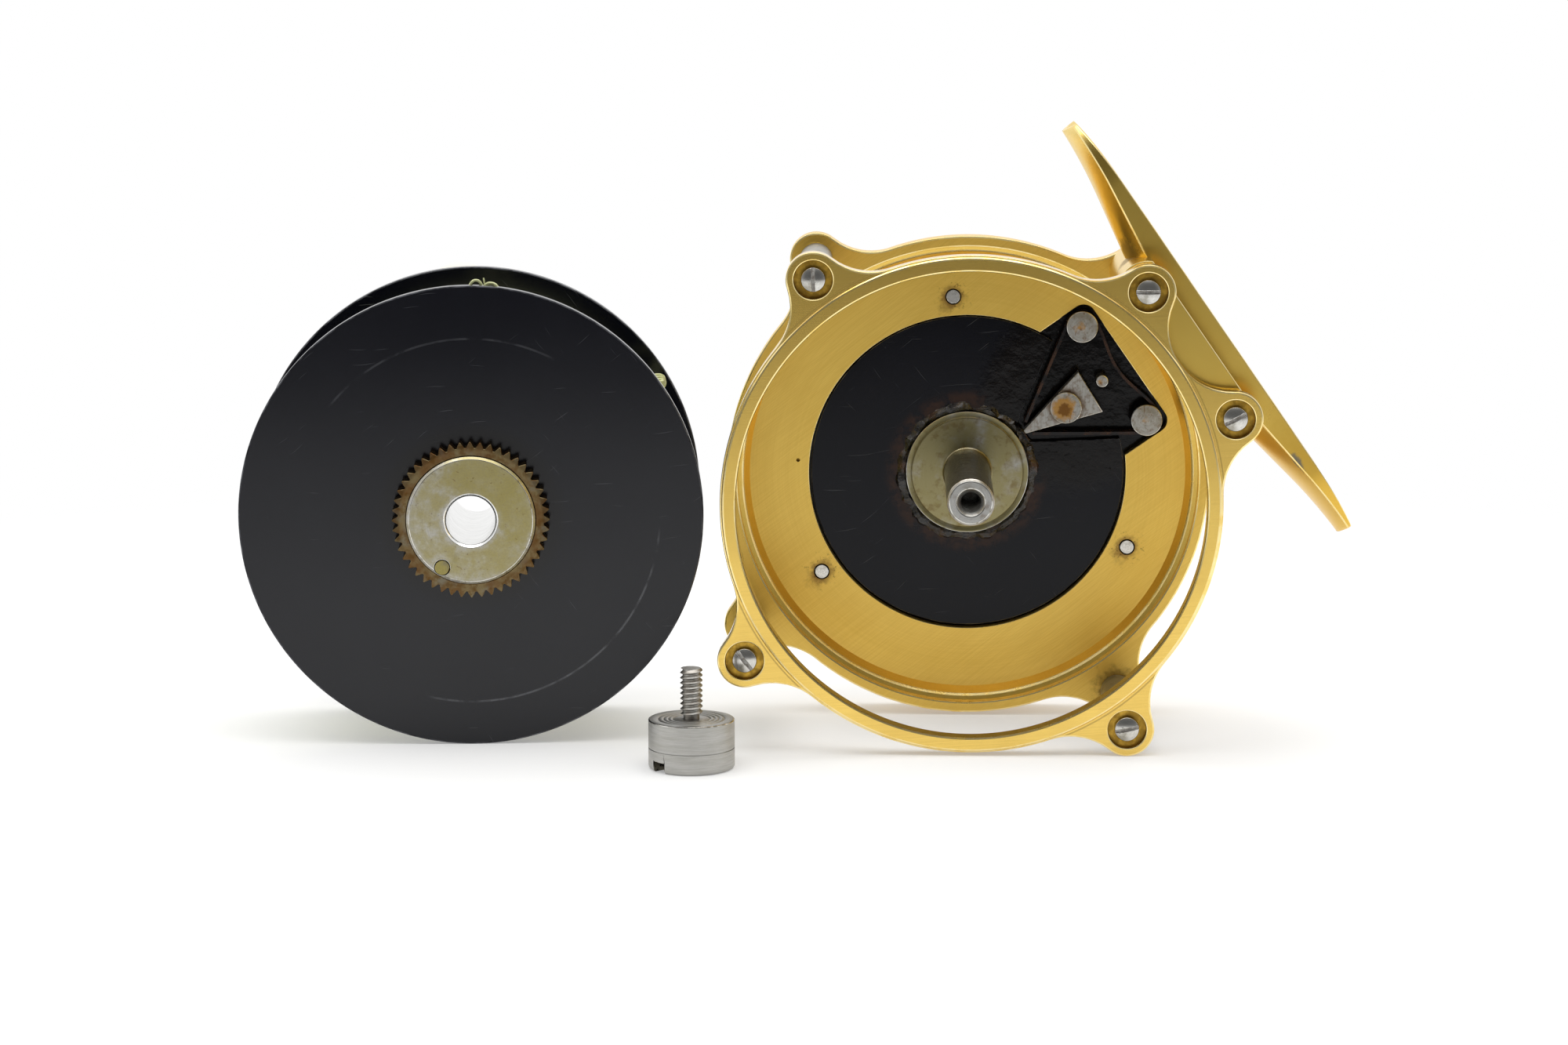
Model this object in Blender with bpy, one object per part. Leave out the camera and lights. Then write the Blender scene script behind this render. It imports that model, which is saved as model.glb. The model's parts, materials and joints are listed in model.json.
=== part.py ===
"""Click-pawl fly reel, taken apart on a bench.

The frame stands at the right, the spool at the left and the spool screw between them.
Lengths are in metres and angles in degrees. Z is up, and the front of the reel faces -Y.
In the frame's own axes, depth runs along +Y from the front face of the ring, and angles run
anticlockwise from +X as the front is seen.
"""

import math

import bmesh
import bpy
from mathutils import Vector

# Fits
CLEARANCE = 0.0003
RUNNING_FIT = 0.0001
MERGE_DISTANCE = 0.00001
SMOOTH_ANGLE = 35.0

# Spindle
SPINDLE_R = 0.00365
SPINDLE_CHAMFER = 0.0004
SPINDLE_TIP_SETBACK = 0.0020
SPINDLE_BORE_SPARE = 0.0043
SPINDLE_FLANGE_DROP = 0.0002
SPINDLE_FLANGE_THICKNESS = 0.0020
SPINDLE_COLLAR = 0.00045
SPINDLE_COLLAR_HEIGHT = 0.0009
SPINDLE_TAIL_R = 0.0029
SPINDLE_SCREW_HEAD_R = 0.0044
SPINDLE_SCREW_HEAD_HEIGHT = 0.0013
SPINDLE_SCREW_SHANK_R = 0.0012
SPINDLE_SCREW_SHANK_LENGTH = 0.0040

# Hub and ratchet gear of the spool, outwards from the spindle
HUB_SLEEVE_WALL = 0.00175
HUB_RIM = 0.00433
HUB_OVERHANG = 0.00013
HUB_PROUD = 0.0006
HUB_CHAMFER = 0.0004
HUB_PIN_R = 0.00113
HUB_PIN_INSET = 0.00138
HUB_PIN_LENGTH = 0.0020
HUB_PIN_ANGLE = 238.4
GEAR_WALL = 0.00127
GEAR_TEETH = 48
TOOTH_HEIGHT = 0.0009
GEAR_STAND = 0.0030

# Click pawl with its studs and spring, outwards along the foot's direction
TOOTH_BITE = 0.0008
PAWL_NOSE_LENGTH = 0.0076
PAWL_NOSE_HALF_WIDTH = 0.0003
PAWL_TAIL_LENGTH = 0.0046
PAWL_TAIL_HALF_WIDTH = 0.00375
PAWL_THICKNESS = 0.0024
PAWL_DROP = 0.0006
PAWL_REST_TURN = -3.0
STUD_R = 0.0013
STUD_SHOULDER_R = 0.0020
STUD_HEAD_R = 0.00247
STUD_HEAD_HEIGHT = 0.0008
STUD_TAIL_LENGTH = 0.0014
STOP_PIN_GAP = 0.00145
STOP_PIN_R = 0.00095
STOP_PIN_RISE = 0.0010
POST_SETBACK = 0.0023
POST_SPREAD = 0.0090
POST_R = 0.0017
POST_HEAD_R = 0.00246
POST_HEAD_HEIGHT = 0.0008
POST_RISE = 0.0020
SPRING_THICKNESS = 0.00045
SPRING_WIDTH = 0.0030
SPRING_BOW = 0.0015
SPRING_NOSE_SETBACK = 0.0009

# Black cover behind the back plate
COVER_THICKNESS = 0.0024
BOSS_DROP = 0.0012
POCKET_LAND = 0.0011
POCKET_TIP_HALF_WIDTH = 0.0018
POCKET_MARGIN = 0.0008
COVER_SCREW_SETBACK = 0.0030
COVER_SCREW_TURNS = (60.0, 180.0, 300.0)
COVER_SCREW_R = 0.00108
COVER_SCREW_HEAD_R = 0.0019
COVER_SCREW_HEAD_HEIGHT = 0.0009

# Back plate, outwards from its keyhole opening
PORT_ROOM = 0.0063
BAY_MARGIN = 0.00045
BAY_CORNER_R = 0.0019
FLOOR_LAND = 0.0013
FLOOR_DEPTH = 0.0042
FLOOR_THICKNESS = 0.0025
WALL_SLOPE = 0.00095
LEDGE_DEPTH = 0.0020
LEDGE_WIDTH = 0.00085
LEDGE_LIP = 0.0003
MOUTH_WALL = 0.0011
CUP_SETBACK = 0.0006
PLATE_LUG_THICKNESS = 0.0030

# Front ring and its lugs
RING_WALL = 0.0024
RING_THICKNESS = 0.0033
RING_STEP = 0.0004
LUG_OFFSET = 0.0038
LUG_WALL = 0.00125
LUG_FILLET_R = 0.0096
COUNTERBORE_ROOM = 0.00105
COUNTERBORE_DEPTH = 0.0013

# Frame layout
FRAME_GAP = 0.0265
FOOT_ANGLE = 34.9
FOOT_LUG_SPREAD = 16.2
PLAIN_LUG_TURNS = (90.0, 180.0, 270.0)
PILLAR_R = 0.0026

# Slotted frame screws; the dome's shoulder is a share of the head's radius and of the dome
SCREW_HEAD_R = 0.00185
SCREW_HEAD_HEIGHT = 0.0011
SCREW_DOME = 0.0004
DOME_SHOULDER = 0.6
DOME_SHOULDER_DROP = 0.3
SCREW_SHANK_R = 0.0011
SCREW_SHANK_LENGTH = 0.0050
SCREW_SLOT_WIDTH = 0.0005
SCREW_SLOT_DEPTH = 0.0006

# Reel foot
FOOT_STAND = 0.00435
FOOT_LENGTH = 0.0752
FOOT_WIDTH = 0.0150
FOOT_TIP_WIDTH = 0.0059
FOOT_THICKNESS = 0.0033
FOOT_TIP_THICKNESS = 0.0006
FOOT_CROWN = 0.0030
FOOT_TIP_CROWN = 0.0018
FOOT_TIP_HOLLOW = 0.0015
FOOT_TIP_DROP = 0.0008
FOOT_TIP_ROUNDING = 0.0110
FOOT_SEAM = 0.0004
FOOT_SHARES = (-1.0, -0.5, 0.0, 0.5, 1.0)

# Spool, measured from the front face of its front flange
SPOOL_RUNNING_GAP = 0.0001
SPOOL_RECESS = 0.0020
FLANGE_THICKNESS = 0.0018
FLANGE_EDGE = 0.0003
ARBOR_R = 0.0130
LINE_DROP = 0.0055
LINE_CROWN = 0.0006

# Handle on the spool's outer flange
HANDLE_INSET = 0.00706
HANDLE_ANGLE = 95.5
HANDLE_POST_R = 0.0020
HANDLE_COLLAR_R = 0.0032
HANDLE_COLLAR_HEIGHT = 0.0008
HANDLE_HEAD_R = 0.0030
HANDLE_HEAD_HEIGHT = 0.0010
KNOB_LENGTH = 0.0170
KNOB_BASE_R = 0.0046
KNOB_EDGE = 0.0005
KNOB_WAIST_R = 0.0040
KNOB_WAIST_REACH = 0.0043
KNOB_END_R = 0.0060
KNOB_END_LENGTH = 0.0032
KNOB_END_ROUNDING = 0.0011

# Spool screw, standing on its slotted head
HEAD_R = 0.0065
HEAD_HEIGHT = 0.0075
HEAD_EDGE = 0.0006
HEAD_TOP_EDGE = 0.0003
HEAD_GROOVE_HEIGHT = 0.0032
HEAD_GROOVE_DEPTH = 0.00025
HEAD_SLOT_WIDTH = 0.00235
HEAD_SLOT_DEPTH = 0.0016
HEAD_SLOT_TURN = 41.0
THREAD_R = 0.00168
THREAD_LENGTH = 0.0077
UNDERCUT_DEPTH = 0.00048
UNDERCUT_LENGTH = 0.0008

# Places on the bench, from the front face of the ring
FRAME_TURN = -1.38
SPOOL_GAP = 0.00253
SPOOL_SETBACK = 0.0086
SPOOL_TURN = 2.4
SPOOL_SCREW_X = -0.04215
SPOOL_SCREW_STAND_OFF = 0.0074

# Facets round a full turn, and along shorter curves
RING_STEPS = 48
SPOOL_STEPS = 56
PIECE_STEPS = 24
SCREW_STEPS = 12
LUG_ARC_STEPS = 3
POCKET_WALL_STEPS = 3
BAY_CORNER_STEPS = 3
SADDLE_STEPS = 6
BASE_END_STEPS = 7
TIP_STEPS = 4
WRAP_STEPS = 6
SPAN_STEPS = 5
KNOB_STEPS = 4

# Finishes: colour, metallic, roughness
GOLD = ((0.72, 0.47, 0.10), 1.0, 0.34)
BLACK = ((0.012, 0.012, 0.015), 0.4, 0.38)
STEEL = ((0.52, 0.51, 0.48), 1.0, 0.32)
BRIGHT_STEEL = ((0.68, 0.68, 0.68), 1.0, 0.2)
OILED_STEEL = ((0.36, 0.33, 0.22), 1.0, 0.36)
SATIN_ALUMINIUM = ((0.72, 0.71, 0.68), 1.0, 0.4)
BRASS = ((0.48, 0.40, 0.16), 1.0, 0.4)
LINE = ((0.62, 0.66, 0.32), 0.0, 0.8)
IVORY = ((0.74, 0.71, 0.62), 0.0, 0.36)

# Radii and reaches that follow, from the spindle outwards to the ring, the lugs and the foot
SPINDLE_BORE_R = THREAD_R + RUNNING_FIT
SPINDLE_COLLAR_R = SPINDLE_R + SPINDLE_COLLAR
HUB_BORE_R = SPINDLE_R + RUNNING_FIT
HUB_SLEEVE_R = HUB_BORE_R + HUB_SLEEVE_WALL
HUB_R = HUB_SLEEVE_R + HUB_RIM
HUB_PIN_CIRCLE_R = HUB_R - HUB_PIN_INSET
SPINDLE_FLANGE_R = HUB_R - HUB_OVERHANG
GEAR_ROOT_R = HUB_R + GEAR_WALL
GEAR_TIP_R = GEAR_ROOT_R + TOOTH_HEIGHT
PAWL_PIVOT_REACH = GEAR_TIP_R - TOOTH_BITE + PAWL_NOSE_LENGTH
STOP_PIN_REACH = PAWL_PIVOT_REACH + PAWL_TAIL_LENGTH + STOP_PIN_GAP + STOP_PIN_R
POST_REACH = STOP_PIN_REACH + POST_SETBACK
SPRING_WRAP = POST_R + CLEARANCE + SPRING_THICKNESS
PORT_R = PAWL_PIVOT_REACH + PORT_ROOM
PORT_REACH = POST_REACH + SPRING_WRAP + BAY_MARGIN
PORT_HALF_WIDTH = POST_SPREAD + SPRING_WRAP + BAY_MARGIN
BOSS_R = PORT_R - CLEARANCE
POCKET_TIP_REACH = SPINDLE_FLANGE_R + POCKET_LAND
COVER_SCREW_CIRCLE_R = PORT_R + COVER_SCREW_SETBACK
FLOOR_R = math.hypot(PORT_REACH, PORT_HALF_WIDTH) + FLOOR_LAND
COVER_R = FLOOR_R - CLEARANCE
LEDGE_R = FLOOR_R + WALL_SLOPE
MOUTH_R = LEDGE_R + LEDGE_WIDTH
CUP_OUTER_R = MOUTH_R + MOUTH_WALL
RING_OUTER_R = CUP_OUTER_R + CUP_SETBACK
RING_INNER_R = RING_OUTER_R - RING_WALL
COUNTERBORE_R = SCREW_HEAD_R + COUNTERBORE_ROOM
LUG_R = COUNTERBORE_R + LUG_WALL
LUG_CIRCLE_R = RING_OUTER_R + LUG_OFFSET
LUG_TURNS = (-FOOT_LUG_SPREAD, FOOT_LUG_SPREAD) + PLAIN_LUG_TURNS
FOOT_REACH = LUG_CIRCLE_R + FOOT_STAND
SPOOL_R = RING_INNER_R - SPOOL_RUNNING_GAP
LINE_R = SPOOL_R - LINE_DROP
HANDLE_CIRCLE_R = SPOOL_R - HANDLE_INSET
UNDERCUT_R = THREAD_R - UNDERCUT_DEPTH

# Depths that follow, from the front face of the ring
LUG_FACE = RING_STEP
PLATE_FACE = RING_THICKNESS + FRAME_GAP
PLATE_LUG_REAR = PLATE_FACE + PLATE_LUG_THICKNESS
FLOOR_FACE = PLATE_FACE + FLOOR_DEPTH
FLOOR_REAR = FLOOR_FACE + FLOOR_THICKNESS
COVER_FACE = FLOOR_REAR + CLEARANCE
COVER_REAR = COVER_FACE + COVER_THICKNESS
BOSS_FACE = FLOOR_FACE + BOSS_DROP
FLANGE_FACE = FLOOR_FACE + SPINDLE_FLANGE_DROP
FLANGE_SEAT = FLANGE_FACE + SPINDLE_FLANGE_THICKNESS + CLEARANCE
PAWL_REAR = FLOOR_FACE + PAWL_DROP
PAWL_FRONT = PAWL_REAR - PAWL_THICKNESS
HUB_STAND = GEAR_STAND + HUB_PROUD
SPOOL_WIDTH = FLANGE_FACE - HUB_STAND - SPOOL_RECESS
SPINDLE_TIP_DEPTH = SPOOL_RECESS + SPINDLE_TIP_SETBACK
SPINDLE_BORE_LENGTH = THREAD_LENGTH + SPINDLE_BORE_SPARE


def clear_scene():
    for obj in list(bpy.data.objects):
        bpy.data.objects.remove(obj, do_unlink=True)


def make_finish(name, finish):
    colour, metallic, roughness = finish
    material = bpy.data.materials.new(name)
    material.use_nodes = True
    shader = material.node_tree.nodes["Principled BSDF"]
    shader.inputs["Base Color"].default_value = (*colour, 1.0)
    shader.inputs["Metallic"].default_value = metallic
    shader.inputs["Roughness"].default_value = roughness
    return material


def make_empty(name, parent, location, turn=0.0):
    """An axis or a group: its Z rotation is given in degrees."""
    empty = bpy.data.objects.new(name, None)
    empty.parent = parent
    empty.location = location
    empty.rotation_euler.z = math.radians(turn)
    empty.empty_display_size = RING_OUTER_R
    bpy.context.scene.collection.objects.link(empty)
    return empty


def mesh_from(bm, name):
    bmesh.ops.remove_doubles(bm, verts=bm.verts, dist=MERGE_DISTANCE)
    bmesh.ops.dissolve_degenerate(bm, dist=MERGE_DISTANCE, edges=bm.edges)
    bmesh.ops.recalc_face_normals(bm, faces=bm.faces)
    mesh = bpy.data.meshes.new(name)
    bm.to_mesh(mesh)
    bm.free()
    mesh.shade_smooth()
    mesh.set_sharp_from_angle(angle=math.radians(SMOOTH_ANGLE))
    return mesh


def place(name, mesh, parent, location=(0.0, 0.0, 0.0)):
    obj = bpy.data.objects.new(name, mesh)
    obj.parent = parent
    obj.location = location
    bpy.context.scene.collection.objects.link(obj)
    return obj


def add_piece(name, shape, finish, parent, location=(0.0, 0.0, 0.0)):
    """One sub-part from a bmesh or from a mesh that its copies share."""
    mesh = shape if isinstance(shape, bpy.types.Mesh) else mesh_from(shape, name)
    obj = place(name, mesh, parent, location)
    obj.data.materials.clear()
    obj.data.materials.append(None)
    obj.material_slots[0].link = "OBJECT"
    obj.material_slots[0].material = make_finish(name, finish)
    return obj


def cut(obj, tool, name):
    """Cut a shape out of a piece, in the piece's own parent axes."""
    cutter = place(name, mesh_from(tool, name), obj.parent)
    cutter.hide_render = True
    cutter.display_type = "WIRE"
    boolean = obj.modifiers.new(name, "BOOLEAN")
    boolean.operation = "DIFFERENCE"
    boolean.solver = "EXACT"
    boolean.object = cutter


def polar(radius, angle, depth):
    """A point at an angle in degrees round the Y axis."""
    turn = math.radians(angle)
    return Vector((radius * math.cos(turn), depth, radius * math.sin(turn)))


def foot_point(along, across, depth):
    """A point along and across the foot's direction from the spindle axis."""
    turn = math.radians(FOOT_ANGLE)
    x = along * math.cos(turn) - across * math.sin(turn)
    z = along * math.sin(turn) + across * math.cos(turn)
    return Vector((x, depth, z))


def turned(profile, steps, ring=False, bm=None, centre=(0.0, 0.0, 0.0)):
    """A shape turned round the Y axis from (radius, depth) points; a ring's profile closes."""
    bm = bm or bmesh.new()
    origin = Vector(centre)
    verts = [bm.verts.new(origin + Vector((radius, depth, 0.0))) for radius, depth in profile]
    ends = verts[1:] + verts[:1] if ring else verts[1:]
    edges = [bm.edges.new(pair) for pair in zip(verts, ends)]
    bmesh.ops.spin(bm, geom=verts + edges, cent=origin, axis=(0.0, 1.0, 0.0),
                   angle=2.0 * math.pi, steps=steps, use_merge=True)
    return bm


def rod(radius, start, end, steps, bm=None, centre=(0.0, 0.0, 0.0)):
    return turned([(0.0, start), (radius, start), (radius, end), (0.0, end)], steps, bm=bm,
                  centre=centre)


def lofted(loops, closed=True):
    """Walls between loops of equally many points; closed joins the last loop to the first."""
    bm = bmesh.new()
    rows = [[bm.verts.new(point) for point in loop] for loop in loops]
    pairs = list(zip(rows, rows[1:]))
    if closed:
        pairs.append((rows[-1], rows[0]))
    for row, following in pairs:
        for i in range(len(row)):
            j = (i + 1) % len(row)
            bm.faces.new((row[i], row[j], following[j], following[i]))
    if not closed:
        bm.faces.new(rows[0])
        bm.faces.new(rows[-1])
    return bm


def prism(outline, thickness):
    """A flat outline pushed back along +Y."""
    bm = bmesh.new()
    face = bm.faces.new([bm.verts.new(point) for point in outline])
    pushed = bmesh.ops.extrude_face_region(bm, geom=[face])
    moved = [item for item in pushed["geom"] if isinstance(item, bmesh.types.BMVert)]
    bmesh.ops.translate(bm, verts=moved, vec=(0.0, thickness, 0.0))
    return bm


def arc(start, end, steps):
    """Angles from start to end, both included."""
    return [start + (end - start) * i / steps for i in range(steps + 1)]


class LugOutline:
    """Outline shared by the ring and the back plate: a circle with filleted lugs."""

    def __init__(self):
        fillet_reach = RING_OUTER_R + LUG_FILLET_R
        lug_to_fillet = LUG_R + LUG_FILLET_R
        cosine = (fillet_reach**2 + LUG_CIRCLE_R**2 - lug_to_fillet**2)
        cosine /= 2.0 * fillet_reach * LUG_CIRCLE_R
        self.fillet_reach = fillet_reach
        self.fillet_turn = math.acos(cosine)
        fillet = Vector((math.cos(self.fillet_turn), math.sin(self.fillet_turn))) * fillet_reach
        lug = Vector((LUG_CIRCLE_R, 0.0))
        joint = lug + (fillet - lug) * (LUG_R / lug_to_fillet)
        self.joint_turn = math.atan2(joint.y, joint.x)
        self.lug_sweep = math.atan2(joint.y, joint.x - LUG_CIRCLE_R)

    def radius(self, angle):
        offset = min(abs((angle - FOOT_ANGLE - turn + 180.0) % 360.0 - 180.0) for turn in LUG_TURNS)
        offset = math.radians(offset)
        if offset >= self.fillet_turn:
            return RING_OUTER_R
        if offset >= self.joint_turn:
            lean = self.fillet_turn - offset
            inside = LUG_FILLET_R**2 - (self.fillet_reach * math.sin(lean))**2
            return self.fillet_reach * math.cos(lean) - math.sqrt(max(inside, 0.0))
        inside = LUG_R**2 - (LUG_CIRCLE_R * math.sin(offset))**2
        return LUG_CIRCLE_R * math.cos(offset) + math.sqrt(max(inside, 0.0))

    def lug_offsets(self):
        """Angles across one lug, in degrees, spaced evenly along its arcs."""
        half = []
        for sweep in arc(0.0, self.lug_sweep, LUG_ARC_STEPS):
            x = LUG_CIRCLE_R + LUG_R * math.cos(sweep)
            half.append(math.atan2(LUG_R * math.sin(sweep), x))
        half += arc(self.joint_turn, self.fillet_turn, LUG_ARC_STEPS)[1:]
        half = [math.degrees(turn) for turn in half]
        return [-turn for turn in reversed(half[1:])] + half

    def angles(self):
        """Every angle that the outline needs, lug by lug with plain arcs between."""
        lugs = sorted(FOOT_ANGLE + turn for turn in LUG_TURNS)
        found = []
        for lug, following in zip(lugs, lugs[1:] + [lugs[0] + 360.0]):
            offsets = self.lug_offsets()
            found += [lug + turn for turn in offsets]
            start = lug + offsets[-1]
            end = following + offsets[0]
            steps = max(1, round((end - start) * RING_STEPS / 360.0))
            found += arc(start, end, steps)[1:-1]
        return sorted({round(angle, 5) for angle in found})


def port_radius(angle):
    """Keyhole opening in the back plate: a circle with a round-cornered bay towards the foot."""
    offset = abs(math.radians((angle - FOOT_ANGLE + 180.0) % 360.0 - 180.0))
    if math.cos(offset) <= 0.0:
        return PORT_R
    bay = PORT_REACH / math.cos(offset)
    if offset:
        bay = min(bay, PORT_HALF_WIDTH / math.sin(offset))
    corner = Vector((PORT_REACH - BAY_CORNER_R, PORT_HALF_WIDTH - BAY_CORNER_R))
    if bay * math.cos(offset) > corner.x and bay * math.sin(offset) > corner.y:
        lean = offset - math.atan2(corner.y, corner.x)
        inside = BAY_CORNER_R**2 - (corner.length * math.sin(lean))**2
        bay = corner.length * math.cos(lean) + math.sqrt(max(inside, 0.0))
    return max(PORT_R, bay)


def port_corner_angles():
    """Angles at the corners of the bay, where the keyhole outline turns."""
    inner = math.degrees(math.asin(PORT_HALF_WIDTH / PORT_R))
    side = math.degrees(math.atan2(PORT_HALF_WIDTH, PORT_REACH - BAY_CORNER_R))
    end = math.degrees(math.atan2(PORT_HALF_WIDTH - BAY_CORNER_R, PORT_REACH))
    half = [inner] + arc(side, end, BAY_CORNER_STEPS)
    return [FOOT_ANGLE + turn for turn in half] + [FOOT_ANGLE - turn for turn in half]


def boss_outline():
    """Round boss of the cover with the pawl pocket cut into it, as (radius, angle) pairs."""
    flare = PORT_HALF_WIDTH + POCKET_MARGIN - POCKET_TIP_HALF_WIDTH
    flare /= POST_REACH - POCKET_TIP_REACH
    # The pocket wall leaves the boss where it crosses the boss's circle.
    a = 1.0 + flare**2
    offset = POCKET_TIP_HALF_WIDTH - flare * POCKET_TIP_REACH
    b = 2.0 * flare * offset
    c = offset**2 - BOSS_R**2
    mouth = (-b + math.sqrt(b * b - 4.0 * a * c)) / (2.0 * a)
    mouth_half_width = offset + flare * mouth
    corners = [(mouth, -mouth_half_width), (POCKET_TIP_REACH, -POCKET_TIP_HALF_WIDTH),
               (POCKET_TIP_REACH, POCKET_TIP_HALF_WIDTH), (mouth, mouth_half_width)]
    outline = []
    for start, end in zip(corners, corners[1:]):
        for share in arc(0.0, 1.0, POCKET_WALL_STEPS)[:-1]:
            along = start[0] + (end[0] - start[0]) * share
            across = start[1] + (end[1] - start[1]) * share
            turn = math.degrees(math.atan2(across, along))
            outline.append((math.hypot(along, across), FOOT_ANGLE + turn))
    half = math.degrees(math.atan2(mouth_half_width, mouth))
    steps = round(RING_STEPS * (360.0 - 2.0 * half) / 360.0)
    outline += [(BOSS_R, FOOT_ANGLE + turn) for turn in arc(half, 360.0 - half, steps)[:-1]]
    return outline


def lug_centres():
    return [FOOT_ANGLE + turn for turn in LUG_TURNS]


def circle_loop(radius, angles, depth):
    return [polar(radius, angle, depth) for angle in angles]


def lug_loop(outline, angles, depth):
    return [polar(outline.radius(angle), angle, depth) for angle in angles]


def build_front_ring(frame):
    outline = LugOutline()
    angles = outline.angles()
    ring = add_piece("front_ring", lofted([
        circle_loop(RING_INNER_R, angles, RING_THICKNESS),
        circle_loop(RING_INNER_R, angles, 0.0),
        circle_loop(RING_OUTER_R, angles, 0.0),
        circle_loop(RING_OUTER_R, angles, LUG_FACE),
        lug_loop(outline, angles, LUG_FACE),
        lug_loop(outline, angles, RING_THICKNESS),
    ]), GOLD, frame)
    tool = bmesh.new()
    seat = LUG_FACE + COUNTERBORE_DEPTH
    for angle in lug_centres():
        turned([(0.0, -CLEARANCE), (COUNTERBORE_R, -CLEARANCE), (COUNTERBORE_R, seat),
                (SCREW_SHANK_R + CLEARANCE, seat),
                (SCREW_SHANK_R + CLEARANCE, RING_THICKNESS + CLEARANCE),
                (0.0, RING_THICKNESS + CLEARANCE)],
               SCREW_STEPS, bm=tool, centre=polar(LUG_CIRCLE_R, angle, 0.0))
    cut(ring, tool, "ring_screw_holes")


def build_back_plate(frame):
    outline = LugOutline()
    angles = sorted({round(angle % 360.0, 6) for angle in outline.angles() + port_corner_angles()})

    def port(depth):
        return [polar(port_radius(angle), angle, depth) for angle in angles]

    ledge = PLATE_FACE + LEDGE_DEPTH
    plate = add_piece("back_plate", lofted([
        port(FLOOR_FACE),
        circle_loop(FLOOR_R, angles, FLOOR_FACE),
        circle_loop(LEDGE_R, angles, ledge),
        circle_loop(MOUTH_R, angles, ledge - LEDGE_LIP),
        circle_loop(MOUTH_R, angles, PLATE_FACE),
        lug_loop(outline, angles, PLATE_FACE),
        lug_loop(outline, angles, PLATE_LUG_REAR),
        circle_loop(CUP_OUTER_R, angles, PLATE_LUG_REAR),
        circle_loop(CUP_OUTER_R, angles, COVER_REAR),
        circle_loop(COVER_R + CLEARANCE, angles, COVER_REAR),
        circle_loop(COVER_R + CLEARANCE, angles, FLOOR_REAR),
        port(FLOOR_REAR),
    ]), GOLD, frame)
    tool = bmesh.new()
    seat = PLATE_LUG_REAR - COUNTERBORE_DEPTH
    past = PLATE_LUG_REAR + CLEARANCE
    hole = SCREW_SHANK_R + CLEARANCE
    for angle in lug_centres():
        turned([(0.0, PLATE_FACE - CLEARANCE), (hole, PLATE_FACE - CLEARANCE), (hole, seat),
                (COUNTERBORE_R, seat), (COUNTERBORE_R, past), (0.0, past)],
               SCREW_STEPS, bm=tool, centre=polar(LUG_CIRCLE_R, angle, 0.0))
    for turn in COVER_SCREW_TURNS:
        rod(COVER_SCREW_R + CLEARANCE, FLOOR_FACE - CLEARANCE, FLOOR_REAR + CLEARANCE, SCREW_STEPS,
            bm=tool, centre=polar(COVER_SCREW_CIRCLE_R, FOOT_ANGLE + turn, 0.0))
    cut(plate, tool, "plate_screw_holes")


def build_back_cover(frame):
    outline = boss_outline()
    angles = [angle for _, angle in outline]

    def boss(depth):
        return [polar(radius, angle, depth) for radius, angle in outline]

    tail_hole = SPINDLE_TAIL_R + CLEARANCE
    seat_r = SPINDLE_FLANGE_R + CLEARANCE
    cover = add_piece("back_cover", lofted([
        circle_loop(tail_hole, angles, COVER_REAR),
        circle_loop(COVER_R, angles, COVER_REAR),
        circle_loop(COVER_R, angles, COVER_FACE),
        boss(COVER_FACE),
        boss(BOSS_FACE),
        circle_loop(seat_r, angles, BOSS_FACE),
        circle_loop(seat_r, angles, FLANGE_SEAT),
        circle_loop(tail_hole, angles, FLANGE_SEAT),
    ]), BLACK, frame)
    tool = bmesh.new()
    hole = COVER_SCREW_R + CLEARANCE
    sink = COVER_REAR - COVER_SCREW_HEAD_HEIGHT - CLEARANCE
    sink_r = COVER_SCREW_HEAD_R + CLEARANCE
    for turn in COVER_SCREW_TURNS:
        turned([(0.0, COVER_FACE - CLEARANCE), (hole, COVER_FACE - CLEARANCE), (hole, sink),
                (sink_r, sink), (sink_r, COVER_REAR + CLEARANCE), (0.0, COVER_REAR + CLEARANCE)],
               SCREW_STEPS, bm=tool, centre=polar(COVER_SCREW_CIRCLE_R, FOOT_ANGLE + turn, 0.0))
    tail_end = COVER_FACE + STUD_TAIL_LENGTH + CLEARANCE
    for (along, across), radius in click_tails():
        rod(radius + CLEARANCE, COVER_FACE - CLEARANCE, tail_end, SCREW_STEPS, bm=tool,
            centre=foot_point(along, across, 0.0))
    cut(cover, tool, "cover_holes")


def click_tails():
    """Places and radii of the tails that hold the click's studs in the cover."""
    return (
        ((PAWL_PIVOT_REACH, 0.0), STUD_R),
        ((POST_REACH, POST_SPREAD), STUD_R),
        ((POST_REACH, -POST_SPREAD), STUD_R),
        ((STOP_PIN_REACH, 0.0), STOP_PIN_R),
    )


def slotted_screw_mesh(name, head_r, head_height, shank_r, shank_length):
    """Domed screw along +Y from the top of its head, with a slot across it."""
    end = head_height + shank_length
    shoulder = (head_r * DOME_SHOULDER, SCREW_DOME * DOME_SHOULDER_DROP)
    profile = [(0.0, 0.0), shoulder, (head_r, SCREW_DOME), (head_r, head_height),
               (shank_r, head_height), (shank_r, end), (0.0, end)]
    blank = place(name, mesh_from(turned(profile, SCREW_STEPS), name), None)
    slot = bmesh.new()
    bmesh.ops.create_cube(slot, size=1.0)
    length = 2.0 * (head_r + CLEARANCE)
    bmesh.ops.scale(slot, verts=slot.verts, vec=(length, 2.0 * SCREW_SLOT_DEPTH, SCREW_SLOT_WIDTH))
    cut(blank, slot, name + "_slot")
    depsgraph = bpy.context.evaluated_depsgraph_get()
    mesh = bpy.data.meshes.new_from_object(blank.evaluated_get(depsgraph))
    for obj in (blank.modifiers[0].object, blank):
        bpy.data.objects.remove(obj, do_unlink=True)
    return mesh


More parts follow.
